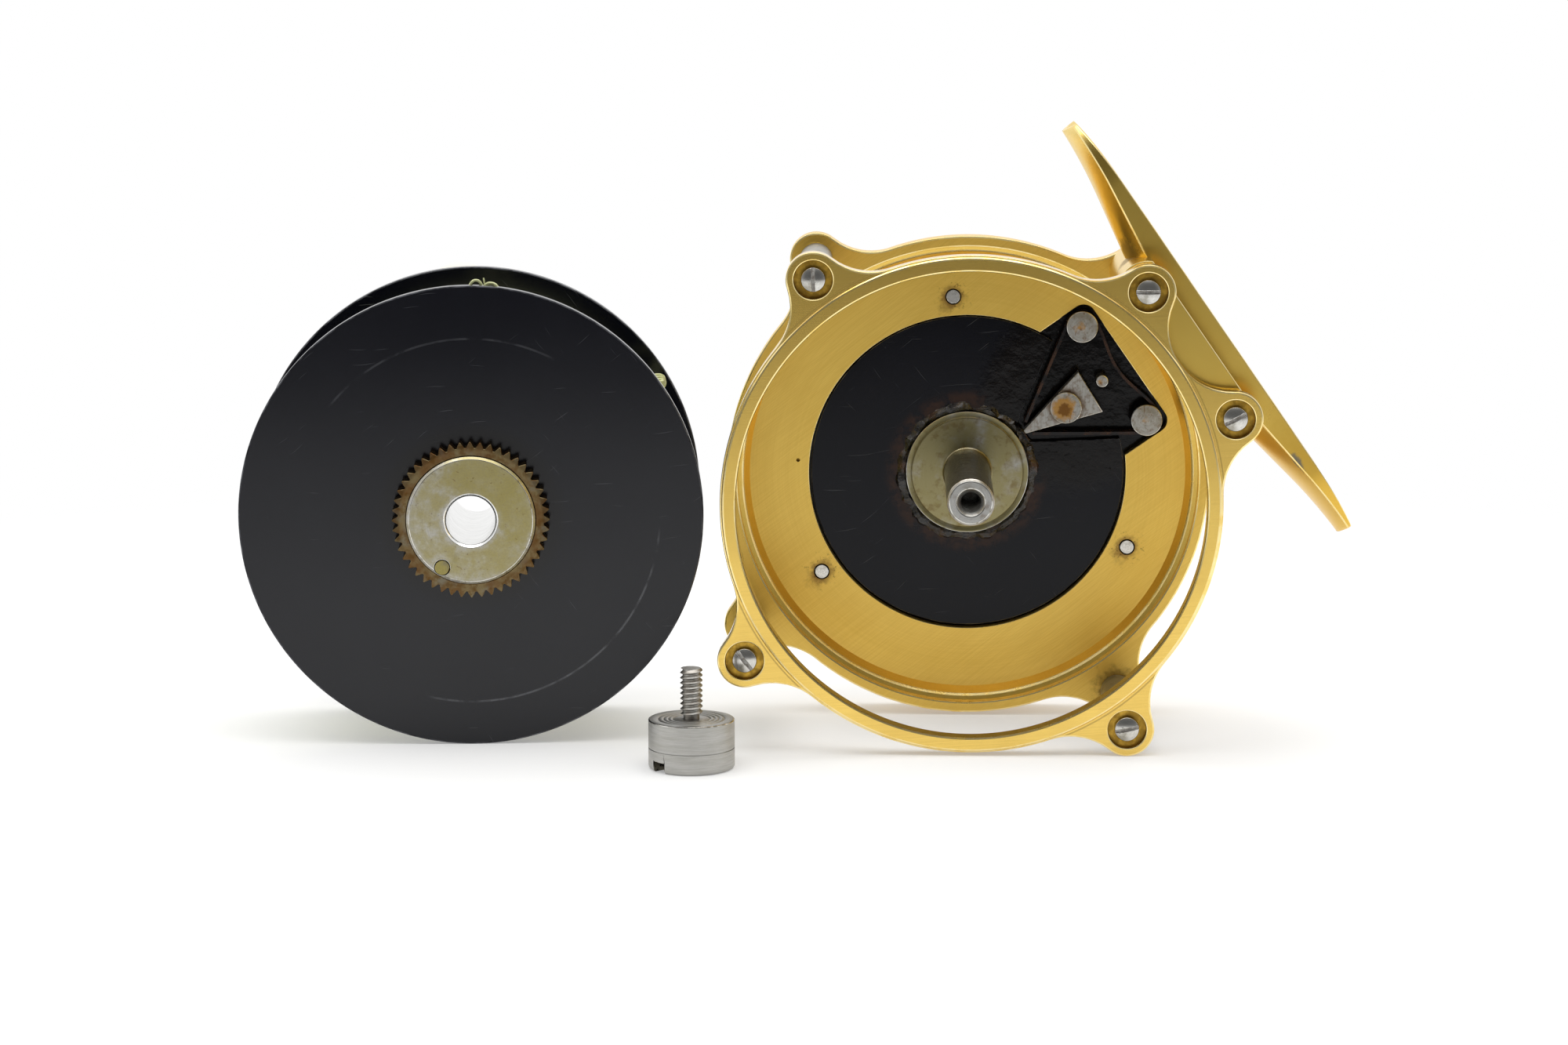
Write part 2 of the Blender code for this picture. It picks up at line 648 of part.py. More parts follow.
def build_frame_screws(frame):
    mesh = slotted_screw_mesh("frame_screw", SCREW_HEAD_R, SCREW_HEAD_HEIGHT, SCREW_SHANK_R,
                              SCREW_SHANK_LENGTH)
    front_top = LUG_FACE + COUNTERBORE_DEPTH - CLEARANCE - SCREW_HEAD_HEIGHT
    rear_top = PLATE_LUG_REAR - COUNTERBORE_DEPTH + CLEARANCE + SCREW_HEAD_HEIGHT
    for number, angle in enumerate(lug_centres(), start=1):
        add_piece(f"ring_screw_{number}", mesh, BRIGHT_STEEL, frame,
                  polar(LUG_CIRCLE_R, angle, front_top))
        rear = add_piece(f"plate_screw_{number}", mesh, BRIGHT_STEEL, frame,
                         polar(LUG_CIRCLE_R, angle, rear_top))
        rear.rotation_euler.z = math.pi


def screw_reach():
    """How far a frame screw reaches past the face of its lug into what it holds."""
    seat = RING_THICKNESS - LUG_FACE - COUNTERBORE_DEPTH
    rear_seat = PLATE_LUG_THICKNESS - COUNTERBORE_DEPTH
    return SCREW_SHANK_LENGTH - seat, SCREW_SHANK_LENGTH - rear_seat


def build_pillars(frame):
    start = RING_THICKNESS + CLEARANCE
    end = PLATE_FACE - CLEARANCE
    front_reach, rear_reach = screw_reach()
    hole = SCREW_SHANK_R + CLEARANCE
    front_hole = RING_THICKNESS + front_reach + CLEARANCE
    rear_hole = PLATE_FACE - rear_reach - CLEARANCE
    profile = [(0.0, front_hole), (hole, front_hole), (hole, start), (PILLAR_R, start),
               (PILLAR_R, end), (hole, end), (hole, rear_hole), (0.0, rear_hole)]
    mesh = mesh_from(turned(profile, SCREW_STEPS), "pillar")
    for number, turn in enumerate(PLAIN_LUG_TURNS, start=1):
        add_piece(f"pillar_{number}", mesh, SATIN_ALUMINIUM, frame,
                  polar(LUG_CIRCLE_R, FOOT_ANGLE + turn, 0.0))


def foot_base_end():
    """How far the foot's full thickness reaches along it: to the ends of its two lugs."""
    return LUG_CIRCLE_R * math.sin(math.radians(FOOT_LUG_SPREAD)) + LUG_R


def foot_section(across):
    """Cross-section of the foot's blade along its length: crowned underneath, hollow at its tips."""
    half_length = FOOT_LENGTH / 2.0
    distance = abs(across)
    taper = max(0.0, (distance - foot_base_end()) / (half_length - foot_base_end()))
    thickness = FOOT_THICKNESS + (FOOT_TIP_THICKNESS - FOOT_THICKNESS) * taper
    crown = FOOT_CROWN + (FOOT_TIP_CROWN - FOOT_CROWN) * taper
    rounding = max(0.0, (distance - half_length + FOOT_TIP_ROUNDING) / FOOT_TIP_ROUNDING)
    width = FOOT_TIP_WIDTH + (FOOT_WIDTH - FOOT_TIP_WIDTH) * math.sqrt(max(0.0, 1.0 - rounding**2))
    top = FOOT_REACH - FOOT_TIP_DROP * rounding**2
    middle = RING_THICKNESS + FRAME_GAP / 2.0
    hollow = FOOT_TIP_HOLLOW * taper
    section = []
    for share in FOOT_SHARES:
        over = top - hollow * (1.0 - share**2)
        section.append(foot_point(over, across, middle + share * width / 2.0))
    for share in reversed(FOOT_SHARES):
        under = top - thickness - crown * (1.0 - share**2)
        section.append(foot_point(under, across, middle + share * width / 2.0))
    return section


def foot_stations():
    """Places along the foot where its cross-section is taken, from one tip to the other."""
    half_length = FOOT_LENGTH / 2.0
    arm = half_length - FOOT_TIP_ROUNDING
    half = [foot_base_end(), (foot_base_end() + arm) / 2.0, arm]
    for turn in arc(0.0, math.pi / 2.0, TIP_STEPS)[1:]:
        half.append(arm + FOOT_TIP_ROUNDING * math.sin(turn))
    return [-reach for reach in reversed(half)] + half


def build_reel_foot(frame):
    sections = [foot_section(across) for across in foot_stations()]
    foot = add_piece("reel_foot", lofted(sections, closed=False), GOLD, frame)
    start = RING_THICKNESS + CLEARANCE
    end_r = LUG_CIRCLE_R - CUP_OUTER_R
    lug_along = LUG_CIRCLE_R * math.cos(math.radians(FOOT_LUG_SPREAD))
    lug_across = LUG_CIRCLE_R * math.sin(math.radians(FOOT_LUG_SPREAD))
    base_top = FOOT_REACH - FOOT_THICKNESS + FOOT_SEAM
    top_turn = math.degrees(math.acos(min(1.0, (base_top - lug_along) / end_r)))
    saddle = [polar(CUP_OUTER_R, FOOT_ANGLE + turn, start)
              for turn in arc(-FOOT_LUG_SPREAD, FOOT_LUG_SPREAD, SADDLE_STEPS)]
    upper = [foot_point(lug_along + end_r * math.cos(math.radians(turn)),
                        lug_across + end_r * math.sin(math.radians(turn)), start)
             for turn in arc(180.0 + FOOT_LUG_SPREAD, top_turn, BASE_END_STEPS)[1:]]
    lower = [foot_point(lug_along + end_r * math.cos(math.radians(turn)),
                        -lug_across - end_r * math.sin(math.radians(turn)), start)
             for turn in arc(top_turn, 180.0 + FOOT_LUG_SPREAD, BASE_END_STEPS)[:-1]]
    base = prism(saddle + upper + lower, FRAME_GAP - 2.0 * CLEARANCE)
    block = place("foot_base", mesh_from(base, "foot_base"), frame)
    block.hide_render = True
    block.display_type = "WIRE"
    union = foot.modifiers.new("foot_base", "BOOLEAN")
    union.operation = "UNION"
    union.solver = "EXACT"
    union.object = block
    front_reach, rear_reach = screw_reach()
    tool = bmesh.new()
    hole = SCREW_SHANK_R + CLEARANCE
    for turn in (-FOOT_LUG_SPREAD, FOOT_LUG_SPREAD):
        centre = polar(LUG_CIRCLE_R, FOOT_ANGLE + turn, 0.0)
        rod(hole, RING_THICKNESS, RING_THICKNESS + front_reach + CLEARANCE, SCREW_STEPS, bm=tool,
            centre=centre)
        rod(hole, PLATE_FACE - rear_reach - CLEARANCE, PLATE_FACE, SCREW_STEPS, bm=tool,
            centre=centre)
    cut(foot, tool, "foot_screw_holes")


def build_cover_screws(frame):
    head = COVER_REAR - COVER_SCREW_HEAD_HEIGHT
    profile = [(0.0, FLOOR_FACE), (COVER_SCREW_R, FLOOR_FACE), (COVER_SCREW_R, head),
               (COVER_SCREW_HEAD_R, head), (COVER_SCREW_HEAD_R, COVER_REAR), (0.0, COVER_REAR)]
    mesh = mesh_from(turned(profile, SCREW_STEPS), "cover_screw")
    for number, turn in enumerate(COVER_SCREW_TURNS, start=1):
        add_piece(f"cover_screw_{number}", mesh, STEEL, frame,
                  polar(COVER_SCREW_CIRCLE_R, FOOT_ANGLE + turn, 0.0))


def build_spindle(frame):
    tail_end = COVER_REAR - CLEARANCE
    bore_end = SPINDLE_TIP_DEPTH + SPINDLE_BORE_LENGTH
    flange_rear = FLANGE_FACE + SPINDLE_FLANGE_THICKNESS
    collar = FLANGE_FACE - SPINDLE_COLLAR_HEIGHT
    rear_hole = SPINDLE_SCREW_SHANK_R + CLEARANCE
    rear_hole_end = COVER_REAR - SPINDLE_SCREW_SHANK_LENGTH
    profile = [
        (0.0, bore_end), (SPINDLE_BORE_R, bore_end),
        (SPINDLE_BORE_R, SPINDLE_TIP_DEPTH + SPINDLE_CHAMFER),
        (SPINDLE_BORE_R + SPINDLE_CHAMFER, SPINDLE_TIP_DEPTH),
        (SPINDLE_R - SPINDLE_CHAMFER, SPINDLE_TIP_DEPTH),
        (SPINDLE_R, SPINDLE_TIP_DEPTH + SPINDLE_CHAMFER), (SPINDLE_R, collar),
        (SPINDLE_COLLAR_R, FLANGE_FACE), (SPINDLE_FLANGE_R, FLANGE_FACE),
        (SPINDLE_FLANGE_R, flange_rear), (SPINDLE_TAIL_R, flange_rear), (SPINDLE_TAIL_R, tail_end),
        (rear_hole, tail_end), (rear_hole, rear_hole_end), (0.0, rear_hole_end),
    ]
    add_piece("spindle", turned(profile, PIECE_STEPS), STEEL, frame)
    mesh = slotted_screw_mesh("spindle_screw", SPINDLE_SCREW_HEAD_R, SPINDLE_SCREW_HEAD_HEIGHT,
                              SPINDLE_SCREW_SHANK_R, SPINDLE_SCREW_SHANK_LENGTH)
    top = COVER_REAR + CLEARANCE + SPINDLE_SCREW_HEAD_HEIGHT
    screw = add_piece("spindle_screw", mesh, BRIGHT_STEEL, frame, (0.0, top, 0.0))
    screw.rotation_euler.z = math.pi


def stud_profile(shaft_r, shoulder_r, shoulder_top, head_r, head_base, head_top):
    """Headed stud with a tail in the cover, turned from its head down."""
    tail_end = COVER_FACE + STUD_TAIL_LENGTH
    base = COVER_FACE - CLEARANCE
    return [(0.0, head_top), (head_r, head_top), (head_r, head_base), (shaft_r, head_base),
            (shaft_r, shoulder_top), (shoulder_r, shoulder_top), (shoulder_r, base),
            (STUD_R, base), (STUD_R, tail_end), (0.0, tail_end)]


def build_click_studs(frame):
    head_base = PAWL_FRONT - CLEARANCE
    profile = stud_profile(STUD_R, STUD_SHOULDER_R, PAWL_REAR + CLEARANCE, STUD_HEAD_R, head_base,
                           head_base - STUD_HEAD_HEIGHT)
    add_piece("pawl_stud", turned(profile, SCREW_STEPS), OILED_STEEL, frame,
              foot_point(PAWL_PIVOT_REACH, 0.0, 0.0))
    top = FLOOR_FACE - POST_RISE
    base = COVER_FACE - CLEARANCE
    tail_end = COVER_FACE + STUD_TAIL_LENGTH
    head_base = top + POST_HEAD_HEIGHT
    profile = [(0.0, top), (POST_HEAD_R, top), (POST_HEAD_R, head_base), (POST_R, head_base),
               (POST_R, base), (STUD_R, base), (STUD_R, tail_end), (0.0, tail_end)]
    mesh = mesh_from(turned(profile, SCREW_STEPS), "spring_post")
    for number, side in enumerate((1.0, -1.0), start=1):
        add_piece(f"spring_post_{number}", mesh, STEEL, frame,
                  foot_point(POST_REACH, side * POST_SPREAD, 0.0))
    add_piece("stop_pin", rod(STOP_PIN_R, FLOOR_FACE - STOP_PIN_RISE, tail_end, SCREW_STEPS), STEEL,
              frame, foot_point(STOP_PIN_REACH, 0.0, 0.0))


def build_pawl(frame):
    """Triangular pawl on its stud, with the nose towards the spindle."""
    axis = make_empty("pawl_axis", frame, foot_point(PAWL_PIVOT_REACH, 0.0, PAWL_FRONT))
    axis.rotation_euler.y = -math.radians(FOOT_ANGLE + PAWL_REST_TURN)
    outline = [
        Vector((-PAWL_NOSE_LENGTH, 0.0, -PAWL_NOSE_HALF_WIDTH)),
        Vector((PAWL_TAIL_LENGTH, 0.0, -PAWL_TAIL_HALF_WIDTH)),
        Vector((PAWL_TAIL_LENGTH, 0.0, PAWL_TAIL_HALF_WIDTH)),
        Vector((-PAWL_NOSE_LENGTH, 0.0, PAWL_NOSE_HALF_WIDTH)),
    ]
    pawl = add_piece("pawl", prism(outline, PAWL_THICKNESS), STEEL, axis)
    hole = rod(STUD_R + CLEARANCE, -CLEARANCE, PAWL_THICKNESS + CLEARANCE, SCREW_STEPS)
    cut(pawl, hole, "pawl_hole")


def spring_path():
    """Middle line of the click spring: a leg from the nose, round both posts and back."""
    turn = math.radians(PAWL_REST_TURN)
    contact = PAWL_NOSE_LENGTH - SPRING_NOSE_SETBACK
    slope = (PAWL_TAIL_HALF_WIDTH - PAWL_NOSE_HALF_WIDTH) / (PAWL_NOSE_LENGTH + PAWL_TAIL_LENGTH)
    nose_half = PAWL_NOSE_HALF_WIDTH + slope * (PAWL_NOSE_LENGTH - contact)
    off = nose_half + CLEARANCE + SPRING_THICKNESS / 2.0
    belt_r = POST_R + CLEARANCE + SPRING_THICKNESS / 2.0
    run = POST_REACH + belt_r

    def half_path(side):
        along = PAWL_PIVOT_REACH - contact * math.cos(turn) - side * off * math.sin(turn)
        across = -contact * math.sin(turn) * side + off * math.cos(turn)
        to_post = math.hypot(POST_REACH - along, POST_SPREAD - across)
        lean = math.atan2(POST_SPREAD - across, POST_REACH - along) + math.asin(belt_r / to_post)
        points = [(along, across)]
        for sweep in arc(lean + math.pi / 2.0, 0.0, WRAP_STEPS):
            points.append((POST_REACH + belt_r * math.cos(sweep),
                           POST_SPREAD + belt_r * math.sin(sweep)))
        for share in arc(1.0, 0.0, SPAN_STEPS)[1:]:
            bow = SPRING_BOW * (1.0 + math.cos(math.pi * share)) / 2.0
            points.append((run - bow, POST_SPREAD * share))
        return [(along, side * across) for along, across in points]

    upper = half_path(1.0)
    lower = half_path(-1.0)
    return upper + list(reversed(lower))[1:]


def build_click_spring(frame):
    path = [Vector(point) for point in spring_path()]
    left = []
    right = []
    for i, point in enumerate(path):
        before = path[max(i - 1, 0)]
        after = path[min(i + 1, len(path) - 1)]
        direction = (after - before).normalized()
        side = Vector((-direction.y, direction.x)) * SPRING_THICKNESS / 2.0
        left.append(point + side)
        right.append(point - side)
    front = COVER_FACE - CLEARANCE - SPRING_WIDTH
    outline = [foot_point(p.x, p.y, front) for p in left + list(reversed(right))]
    add_piece("click_spring", prism(outline, SPRING_WIDTH), STEEL, frame)


def build_spool_body(spool):
    bore = HUB_SLEEVE_R + CLEARANCE
    rim = SPOOL_R - FLANGE_EDGE
    inner = FLANGE_THICKNESS
    outer = SPOOL_WIDTH - FLANGE_THICKNESS
    profile = [
        (bore, 0.0), (rim, 0.0), (SPOOL_R, FLANGE_EDGE), (SPOOL_R, inner), (ARBOR_R, inner),
        (ARBOR_R, outer), (SPOOL_R, outer), (SPOOL_R, SPOOL_WIDTH - FLANGE_EDGE),
        (rim, SPOOL_WIDTH), (bore, SPOOL_WIDTH),
    ]
    body = add_piece("spool_body", turned(profile, SPOOL_STEPS, ring=True), BLACK, spool)
    hole = rod(HANDLE_POST_R + CLEARANCE, outer - CLEARANCE, SPOOL_WIDTH + CLEARANCE, SCREW_STEPS,
               centre=polar(HANDLE_CIRCLE_R, HANDLE_ANGLE, 0.0))
    cut(body, hole, "handle_hole")


def build_line_pack(spool):
    start = FLANGE_THICKNESS + CLEARANCE
    end = SPOOL_WIDTH - FLANGE_THICKNESS - CLEARANCE
    inside = ARBOR_R + CLEARANCE
    shoulder = LINE_R - LINE_CROWN
    third = (end - start) / 3.0
    profile = [(inside, start), (shoulder, start), (LINE_R, start + third), (LINE_R, end - third),
               (shoulder, end), (inside, end)]
    add_piece("line_pack", turned(profile, SPOOL_STEPS, ring=True), LINE, spool)


def build_ratchet_gear(spool):
    half_tooth = 180.0 / GEAR_TEETH
    angles = [i * half_tooth for i in range(2 * GEAR_TEETH)]

    def teeth(depth):
        return [polar(GEAR_ROOT_R if i % 2 else GEAR_TIP_R, angle, depth)
                for i, angle in enumerate(angles)]

    def hole(depth):
        return [polar(HUB_R + CLEARANCE, angle, depth) for angle in angles]

    add_piece("ratchet_gear", lofted([hole(-CLEARANCE), hole(-GEAR_STAND), teeth(-GEAR_STAND),
                                      teeth(-CLEARANCE)]), OILED_STEEL, spool)


def build_hub(spool):
    face = -HUB_STAND
    end = SPOOL_WIDTH - CLEARANCE
    profile = [
        (HUB_BORE_R + HUB_CHAMFER, face), (HUB_R - HUB_CHAMFER, face), (HUB_R, face + HUB_CHAMFER),
        (HUB_R, -CLEARANCE), (HUB_SLEEVE_R, -CLEARANCE), (HUB_SLEEVE_R, end),
        (HUB_BORE_R + HUB_CHAMFER, end), (HUB_BORE_R, end - HUB_CHAMFER),
        (HUB_BORE_R, face + HUB_CHAMFER),
    ]
    hub = add_piece("hub_bush", turned(profile, PIECE_STEPS, ring=True), OILED_STEEL, spool)
    centre = polar(HUB_PIN_CIRCLE_R, HUB_PIN_ANGLE, 0.0)
    cut(hub, rod(HUB_PIN_R + CLEARANCE, face - CLEARANCE, face + HUB_PIN_LENGTH + CLEARANCE,
                 SCREW_STEPS, centre=centre), "hub_pin_hole")
    pin = rod(HUB_PIN_R, face, face + HUB_PIN_LENGTH, SCREW_STEPS)
    add_piece("hub_pin", pin, BRASS, spool, centre)


def build_handle(spool):
    axis = make_empty("handle_axis", spool, polar(HANDLE_CIRCLE_R, HANDLE_ANGLE, SPOOL_WIDTH))
    collar = CLEARANCE + HANDLE_COLLAR_HEIGHT
    knob_start = collar + CLEARANCE
    knob_end = knob_start + KNOB_LENGTH
    head_sink = HANDLE_HEAD_HEIGHT + CLEARANCE
    head_base = knob_end - head_sink + CLEARANCE
    profile = [
        (0.0, -FLANGE_THICKNESS), (HANDLE_POST_R, -FLANGE_THICKNESS), (HANDLE_POST_R, CLEARANCE),
        (HANDLE_COLLAR_R, CLEARANCE), (HANDLE_COLLAR_R, collar), (HANDLE_POST_R, collar),
        (HANDLE_POST_R, head_base), (HANDLE_HEAD_R, head_base), (HANDLE_HEAD_R, knob_end),
        (0.0, knob_end),
    ]
    add_piece("handle_post", turned(profile, SCREW_STEPS), STEEL, axis)
    bore = HANDLE_POST_R + CLEARANCE
    sink = HANDLE_HEAD_R + CLEARANCE
    waist = knob_start + KNOB_WAIST_REACH
    barrel = knob_end - KNOB_END_LENGTH
    profile = [(bore, knob_start), (KNOB_BASE_R - KNOB_EDGE, knob_start),
               (KNOB_BASE_R, knob_start + KNOB_EDGE)]
    for share in arc(0.0, 1.0, KNOB_STEPS):
        swell = (1.0 - math.cos(math.pi * share)) / 2.0
        profile.append((KNOB_WAIST_R + (KNOB_END_R - KNOB_WAIST_R) * swell,
                        waist + (barrel - waist) * share))
    profile += [(KNOB_END_R, knob_end - KNOB_END_ROUNDING), (KNOB_END_R - KNOB_END_ROUNDING, knob_end),
                (sink, knob_end), (sink, knob_end - head_sink), (bore, knob_end - head_sink)]
    add_piece("handle_knob", turned(profile, PIECE_STEPS, ring=True), IVORY, axis)


def build_spool_screw(bench):
    """Slotted screw that holds the spool on the spindle: head down, thread up."""
    axis = make_empty("spool_screw_axis", bench, (SPOOL_SCREW_X, -SPOOL_SCREW_STAND_OFF, 0.0))
    groove = HEAD_GROOVE_HEIGHT
    top = HEAD_HEIGHT
    thread_start = top + UNDERCUT_LENGTH
    end = top + THREAD_LENGTH
    profile = [
        (0.0, 0.0), (HEAD_R - HEAD_EDGE, 0.0), (HEAD_R, HEAD_EDGE),
        (HEAD_R, groove - HEAD_GROOVE_DEPTH), (HEAD_R - HEAD_GROOVE_DEPTH, groove),
        (HEAD_R, groove + HEAD_GROOVE_DEPTH), (HEAD_R, top - HEAD_TOP_EDGE),
        (HEAD_R - HEAD_TOP_EDGE, top), (UNDERCUT_R, top), (UNDERCUT_R, thread_start),
        (THREAD_R, thread_start), (THREAD_R, end), (0.0, end),
    ]
    slot = bmesh.new()
    bmesh.ops.create_cube(slot, size=1.0)
    bmesh.ops.scale(slot, verts=slot.verts,
                    vec=(2.0 * (HEAD_R + CLEARANCE), 2.0 * HEAD_SLOT_DEPTH, HEAD_SLOT_WIDTH))
    axis.rotation_euler = (math.pi / 2.0, 0.0, math.radians(HEAD_SLOT_TURN))
    screw = add_piece("spool_screw", turned(profile, PIECE_STEPS), STEEL, axis)
    cut(screw, slot, "spool_screw_slot")


def centre_on_bench(bench):
    """Put the middle of the whole layout over the origin, standing on the bench."""
    bpy.context.view_layer.update()
    depsgraph = bpy.context.evaluated_depsgraph_get()
    points = []
    for obj in bpy.data.objects:
        if obj.type == "MESH" and not obj.hide_render:
            shown = obj.evaluated_get(depsgraph)
            points += [shown.matrix_world @ v.co for v in shown.data.vertices]
    low = [min(p[i] for p in points) for i in range(3)]
    high = [max(p[i] for p in points) for i in range(3)]
    bench.location = (-(low[0] + high[0]) / 2.0, -(low[1] + high[1]) / 2.0, -low[2])


def main():
    clear_scene()
    bench = make_empty("bench", None, (0.0, 0.0, 0.0))
    lowest_lug = max(-math.sin(math.radians(angle)) for angle in lug_centres())
    frame_height = max(RING_OUTER_R, LUG_CIRCLE_R * lowest_lug + LUG_R)
    frame = make_empty("frame", bench, (0.0, 0.0, frame_height), FRAME_TURN)
    build_front_ring(frame)
    build_back_plate(frame)
    build_back_cover(frame)
    build_frame_screws(frame)
    build_pillars(frame)
    build_reel_foot(frame)
    build_cover_screws(frame)
    build_spindle(frame)
    build_click_studs(frame)
    build_pawl(frame)
    build_click_spring(frame)
    spool_x = -(RING_OUTER_R + SPOOL_GAP + SPOOL_R)
    spool = make_empty("spool", bench, (spool_x, SPOOL_SETBACK, SPOOL_R), SPOOL_TURN)
    build_spool_body(spool)
    build_line_pack(spool)
    build_ratchet_gear(spool)
    build_hub(spool)
    build_handle(spool)
    build_spool_screw(bench)
    centre_on_bench(bench)


main()
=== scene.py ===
"""Click-pawl fly reel, taken apart on a bench: its finished surfaces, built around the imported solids.

The spool stands at the left, the spool screw stands on its head in the middle, and the frame with its
spindle, click and foot stands at the right. All lengths are in metres.
"""

import json
import math

import bmesh
import bpy
from mathutils import Matrix, Vector, noise


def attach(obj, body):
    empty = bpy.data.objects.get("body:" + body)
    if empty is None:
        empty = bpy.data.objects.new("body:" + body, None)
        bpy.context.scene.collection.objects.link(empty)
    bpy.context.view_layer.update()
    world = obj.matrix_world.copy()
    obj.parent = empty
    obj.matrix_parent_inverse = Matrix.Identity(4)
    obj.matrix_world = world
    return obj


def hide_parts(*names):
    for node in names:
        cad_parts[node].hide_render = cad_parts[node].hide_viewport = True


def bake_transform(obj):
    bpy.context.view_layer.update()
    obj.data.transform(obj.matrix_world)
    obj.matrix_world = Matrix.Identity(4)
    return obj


bl_info = {
    "name": "Fly Reel on a Bench",
    "version": (1, 0, 0),
    "blender": (4, 5, 0),
    "location": "View3D > Sidebar > Fly Reel",
    "description": "Builds the finished pieces of a fly reel that is taken apart",
    "category": "Object",
}

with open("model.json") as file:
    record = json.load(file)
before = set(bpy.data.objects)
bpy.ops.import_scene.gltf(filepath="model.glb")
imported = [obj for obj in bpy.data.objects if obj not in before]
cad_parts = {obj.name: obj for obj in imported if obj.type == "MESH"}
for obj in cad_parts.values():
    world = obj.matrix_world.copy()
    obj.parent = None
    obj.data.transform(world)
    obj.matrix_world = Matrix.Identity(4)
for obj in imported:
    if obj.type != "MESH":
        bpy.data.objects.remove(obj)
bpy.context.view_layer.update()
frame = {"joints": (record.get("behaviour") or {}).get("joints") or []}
JOINTS = {joint["name"]: joint for joint in frame["joints"]}

MERGE = 0.000002
CLEARANCE = 0.0003
SHARP_ANGLE = math.radians(32.0)
TURN_ROUND = Matrix.Rotation(math.pi, 4, "Z")

# Places of the finishes in a piece's list of materials.
FACE, EDGE, BORE = 0, 1, 2

# Roundings of small edges.
FINEST_EDGE = 0.00006
SCREW_EDGE = 0.00008
FINE_EDGE = 0.0001
PLATE_EDGE = 0.00012
SOFT_EDGE = 0.00016
ROUND_EDGE = 0.0002

# Ring and back plate: slope of the ring's step, room kept from the cup's wall, least angle in degrees
# between outline points, a pinhole in the gold floor, and where rust is smeared beside a screw's tip.
STEP_RUN = 1.6
CUP_MARGIN = 0.001
CORNER_GAP = 0.3
PINHOLE_REACH = 0.0269
PINHOLE_TURN = 176.0
PINHOLE_R = 0.0003
PINHOLE_DEPTH = 0.001
SMEAR_SHIFT = Vector((-0.0011, 0.0, -0.0012))

# Screws, pillars and the base of the foot.
SCREW_DOME = 0.0004
SLOT_REACH = 2.2
COVER_HEAD_R = 0.0019
COVER_HEAD = 0.0009
COVER_HOLE_R = 0.0014
TIP_ROOM = 0.0002
TIP_RISE = 0.00005
PILLAR_BORE = 0.0014
BASE_SUNK = 0.0004

# Spindle and click: thread in the spindle's hole, fillet at its root, groove in its flange, its tail
# and the studs' tails.
BORE_THREAD = 0.00028
ROOT_HEIGHT = 0.0009
FLANGE_GROOVE = 0.0009
FLANGE_GROOVE_DEPTH = 0.00012
GROOVE_HALF = 0.0002
TAIL_R = 0.0029
TAIL_HOLE_R = 0.0015
TAIL_HOLE_DEPTH = 0.0040
STUD_TAIL = 0.0014

# Spool, line, handle and spool screw.
CORE_DEPTH = 2.4
STRAND_ROOM = 0.985
GEAR_ROOM = 0.00006
PIN_ROOM = 0.0001
KNOB_FOOT = 0.0004
HEAD_RINGS = (0.0050, 0.0042, 0.0035, 0.0028)
HEAD_RING_DEPTH = 0.0001
NECK_R = 0.0012
NECK_LENGTH = 0.0008
NECK_SUNK = 0.0002
THREAD_LAND = 0.1

# Shading, camera and light.
COAT_ROUGHNESS = 0.22
LINE_CONTRAST = (0.3, 0.7)
CLOUD_LOW, CLOUD_HIGH = 0.28, 0.72
SENSOR_WIDTH = 36.0
CLIP_START = 0.01
FADE_SQUEEZE = 0.82
WALL_EDGE = (-0.85, -0.3)
CEILING_EDGE = (0.45, 0.95)
BOX_PLACE = (-0.05, 0.02)

# Numbers of steps round or along a shape.
RING_STEPS = 220
LUG_STEPS = 12
TURN_STEPS = 96
SMALL_STEPS = 48
WALL_STEPS = 10
FOOT_STEPS = 26
CROWN_STEPS = 12
THREAD_STEPS = 48
STRAND_STEPS = 64
STRAND_SIDES = 8
COLLAR_STEPS = 160
SADDLE_STEPS = 30
BASE_STEPS = 4
ARM_STEPS = 8
DOME_STEPS = 8
FILLET_STEPS = 6
LEG_STEPS = 12
POST_STEPS = 20
BOW_STEPS = 16


def length(text, default):
    return bpy.props.FloatProperty(name=text, description=f"{text}, in metres", default=default,
                                   unit="LENGTH", subtype="DISTANCE", precision=5)


def angle(text, degrees):
    return bpy.props.FloatProperty(name=text, description=f"{text}, as an angle",
                                   default=math.radians(degrees), unit="ROTATION", subtype="ANGLE")


def amount(text, default):
    return bpy.props.FloatProperty(name=text, description=f"{text}, as a plain number", default=default,
                                   subtype="UNSIGNED")


def paint(text, red, green, blue):
    """A colour property whose default is given as 8-bit display values."""
    return bpy.props.FloatVectorProperty(name=text, description=f"{text}, as a colour", subtype="COLOR",
                                         size=3, min=0.0, max=1.0, default=linear(red, green, blue))


def linear(red, green, blue):
    """Linear colour of 8-bit display values."""
    channels = []
    for value in (red, green, blue):
        share = value / 255.0
        channels.append(share / 12.92 if share <= 0.04045 else ((share + 0.055) / 1.055) ** 2.4)
    return tuple(channels)


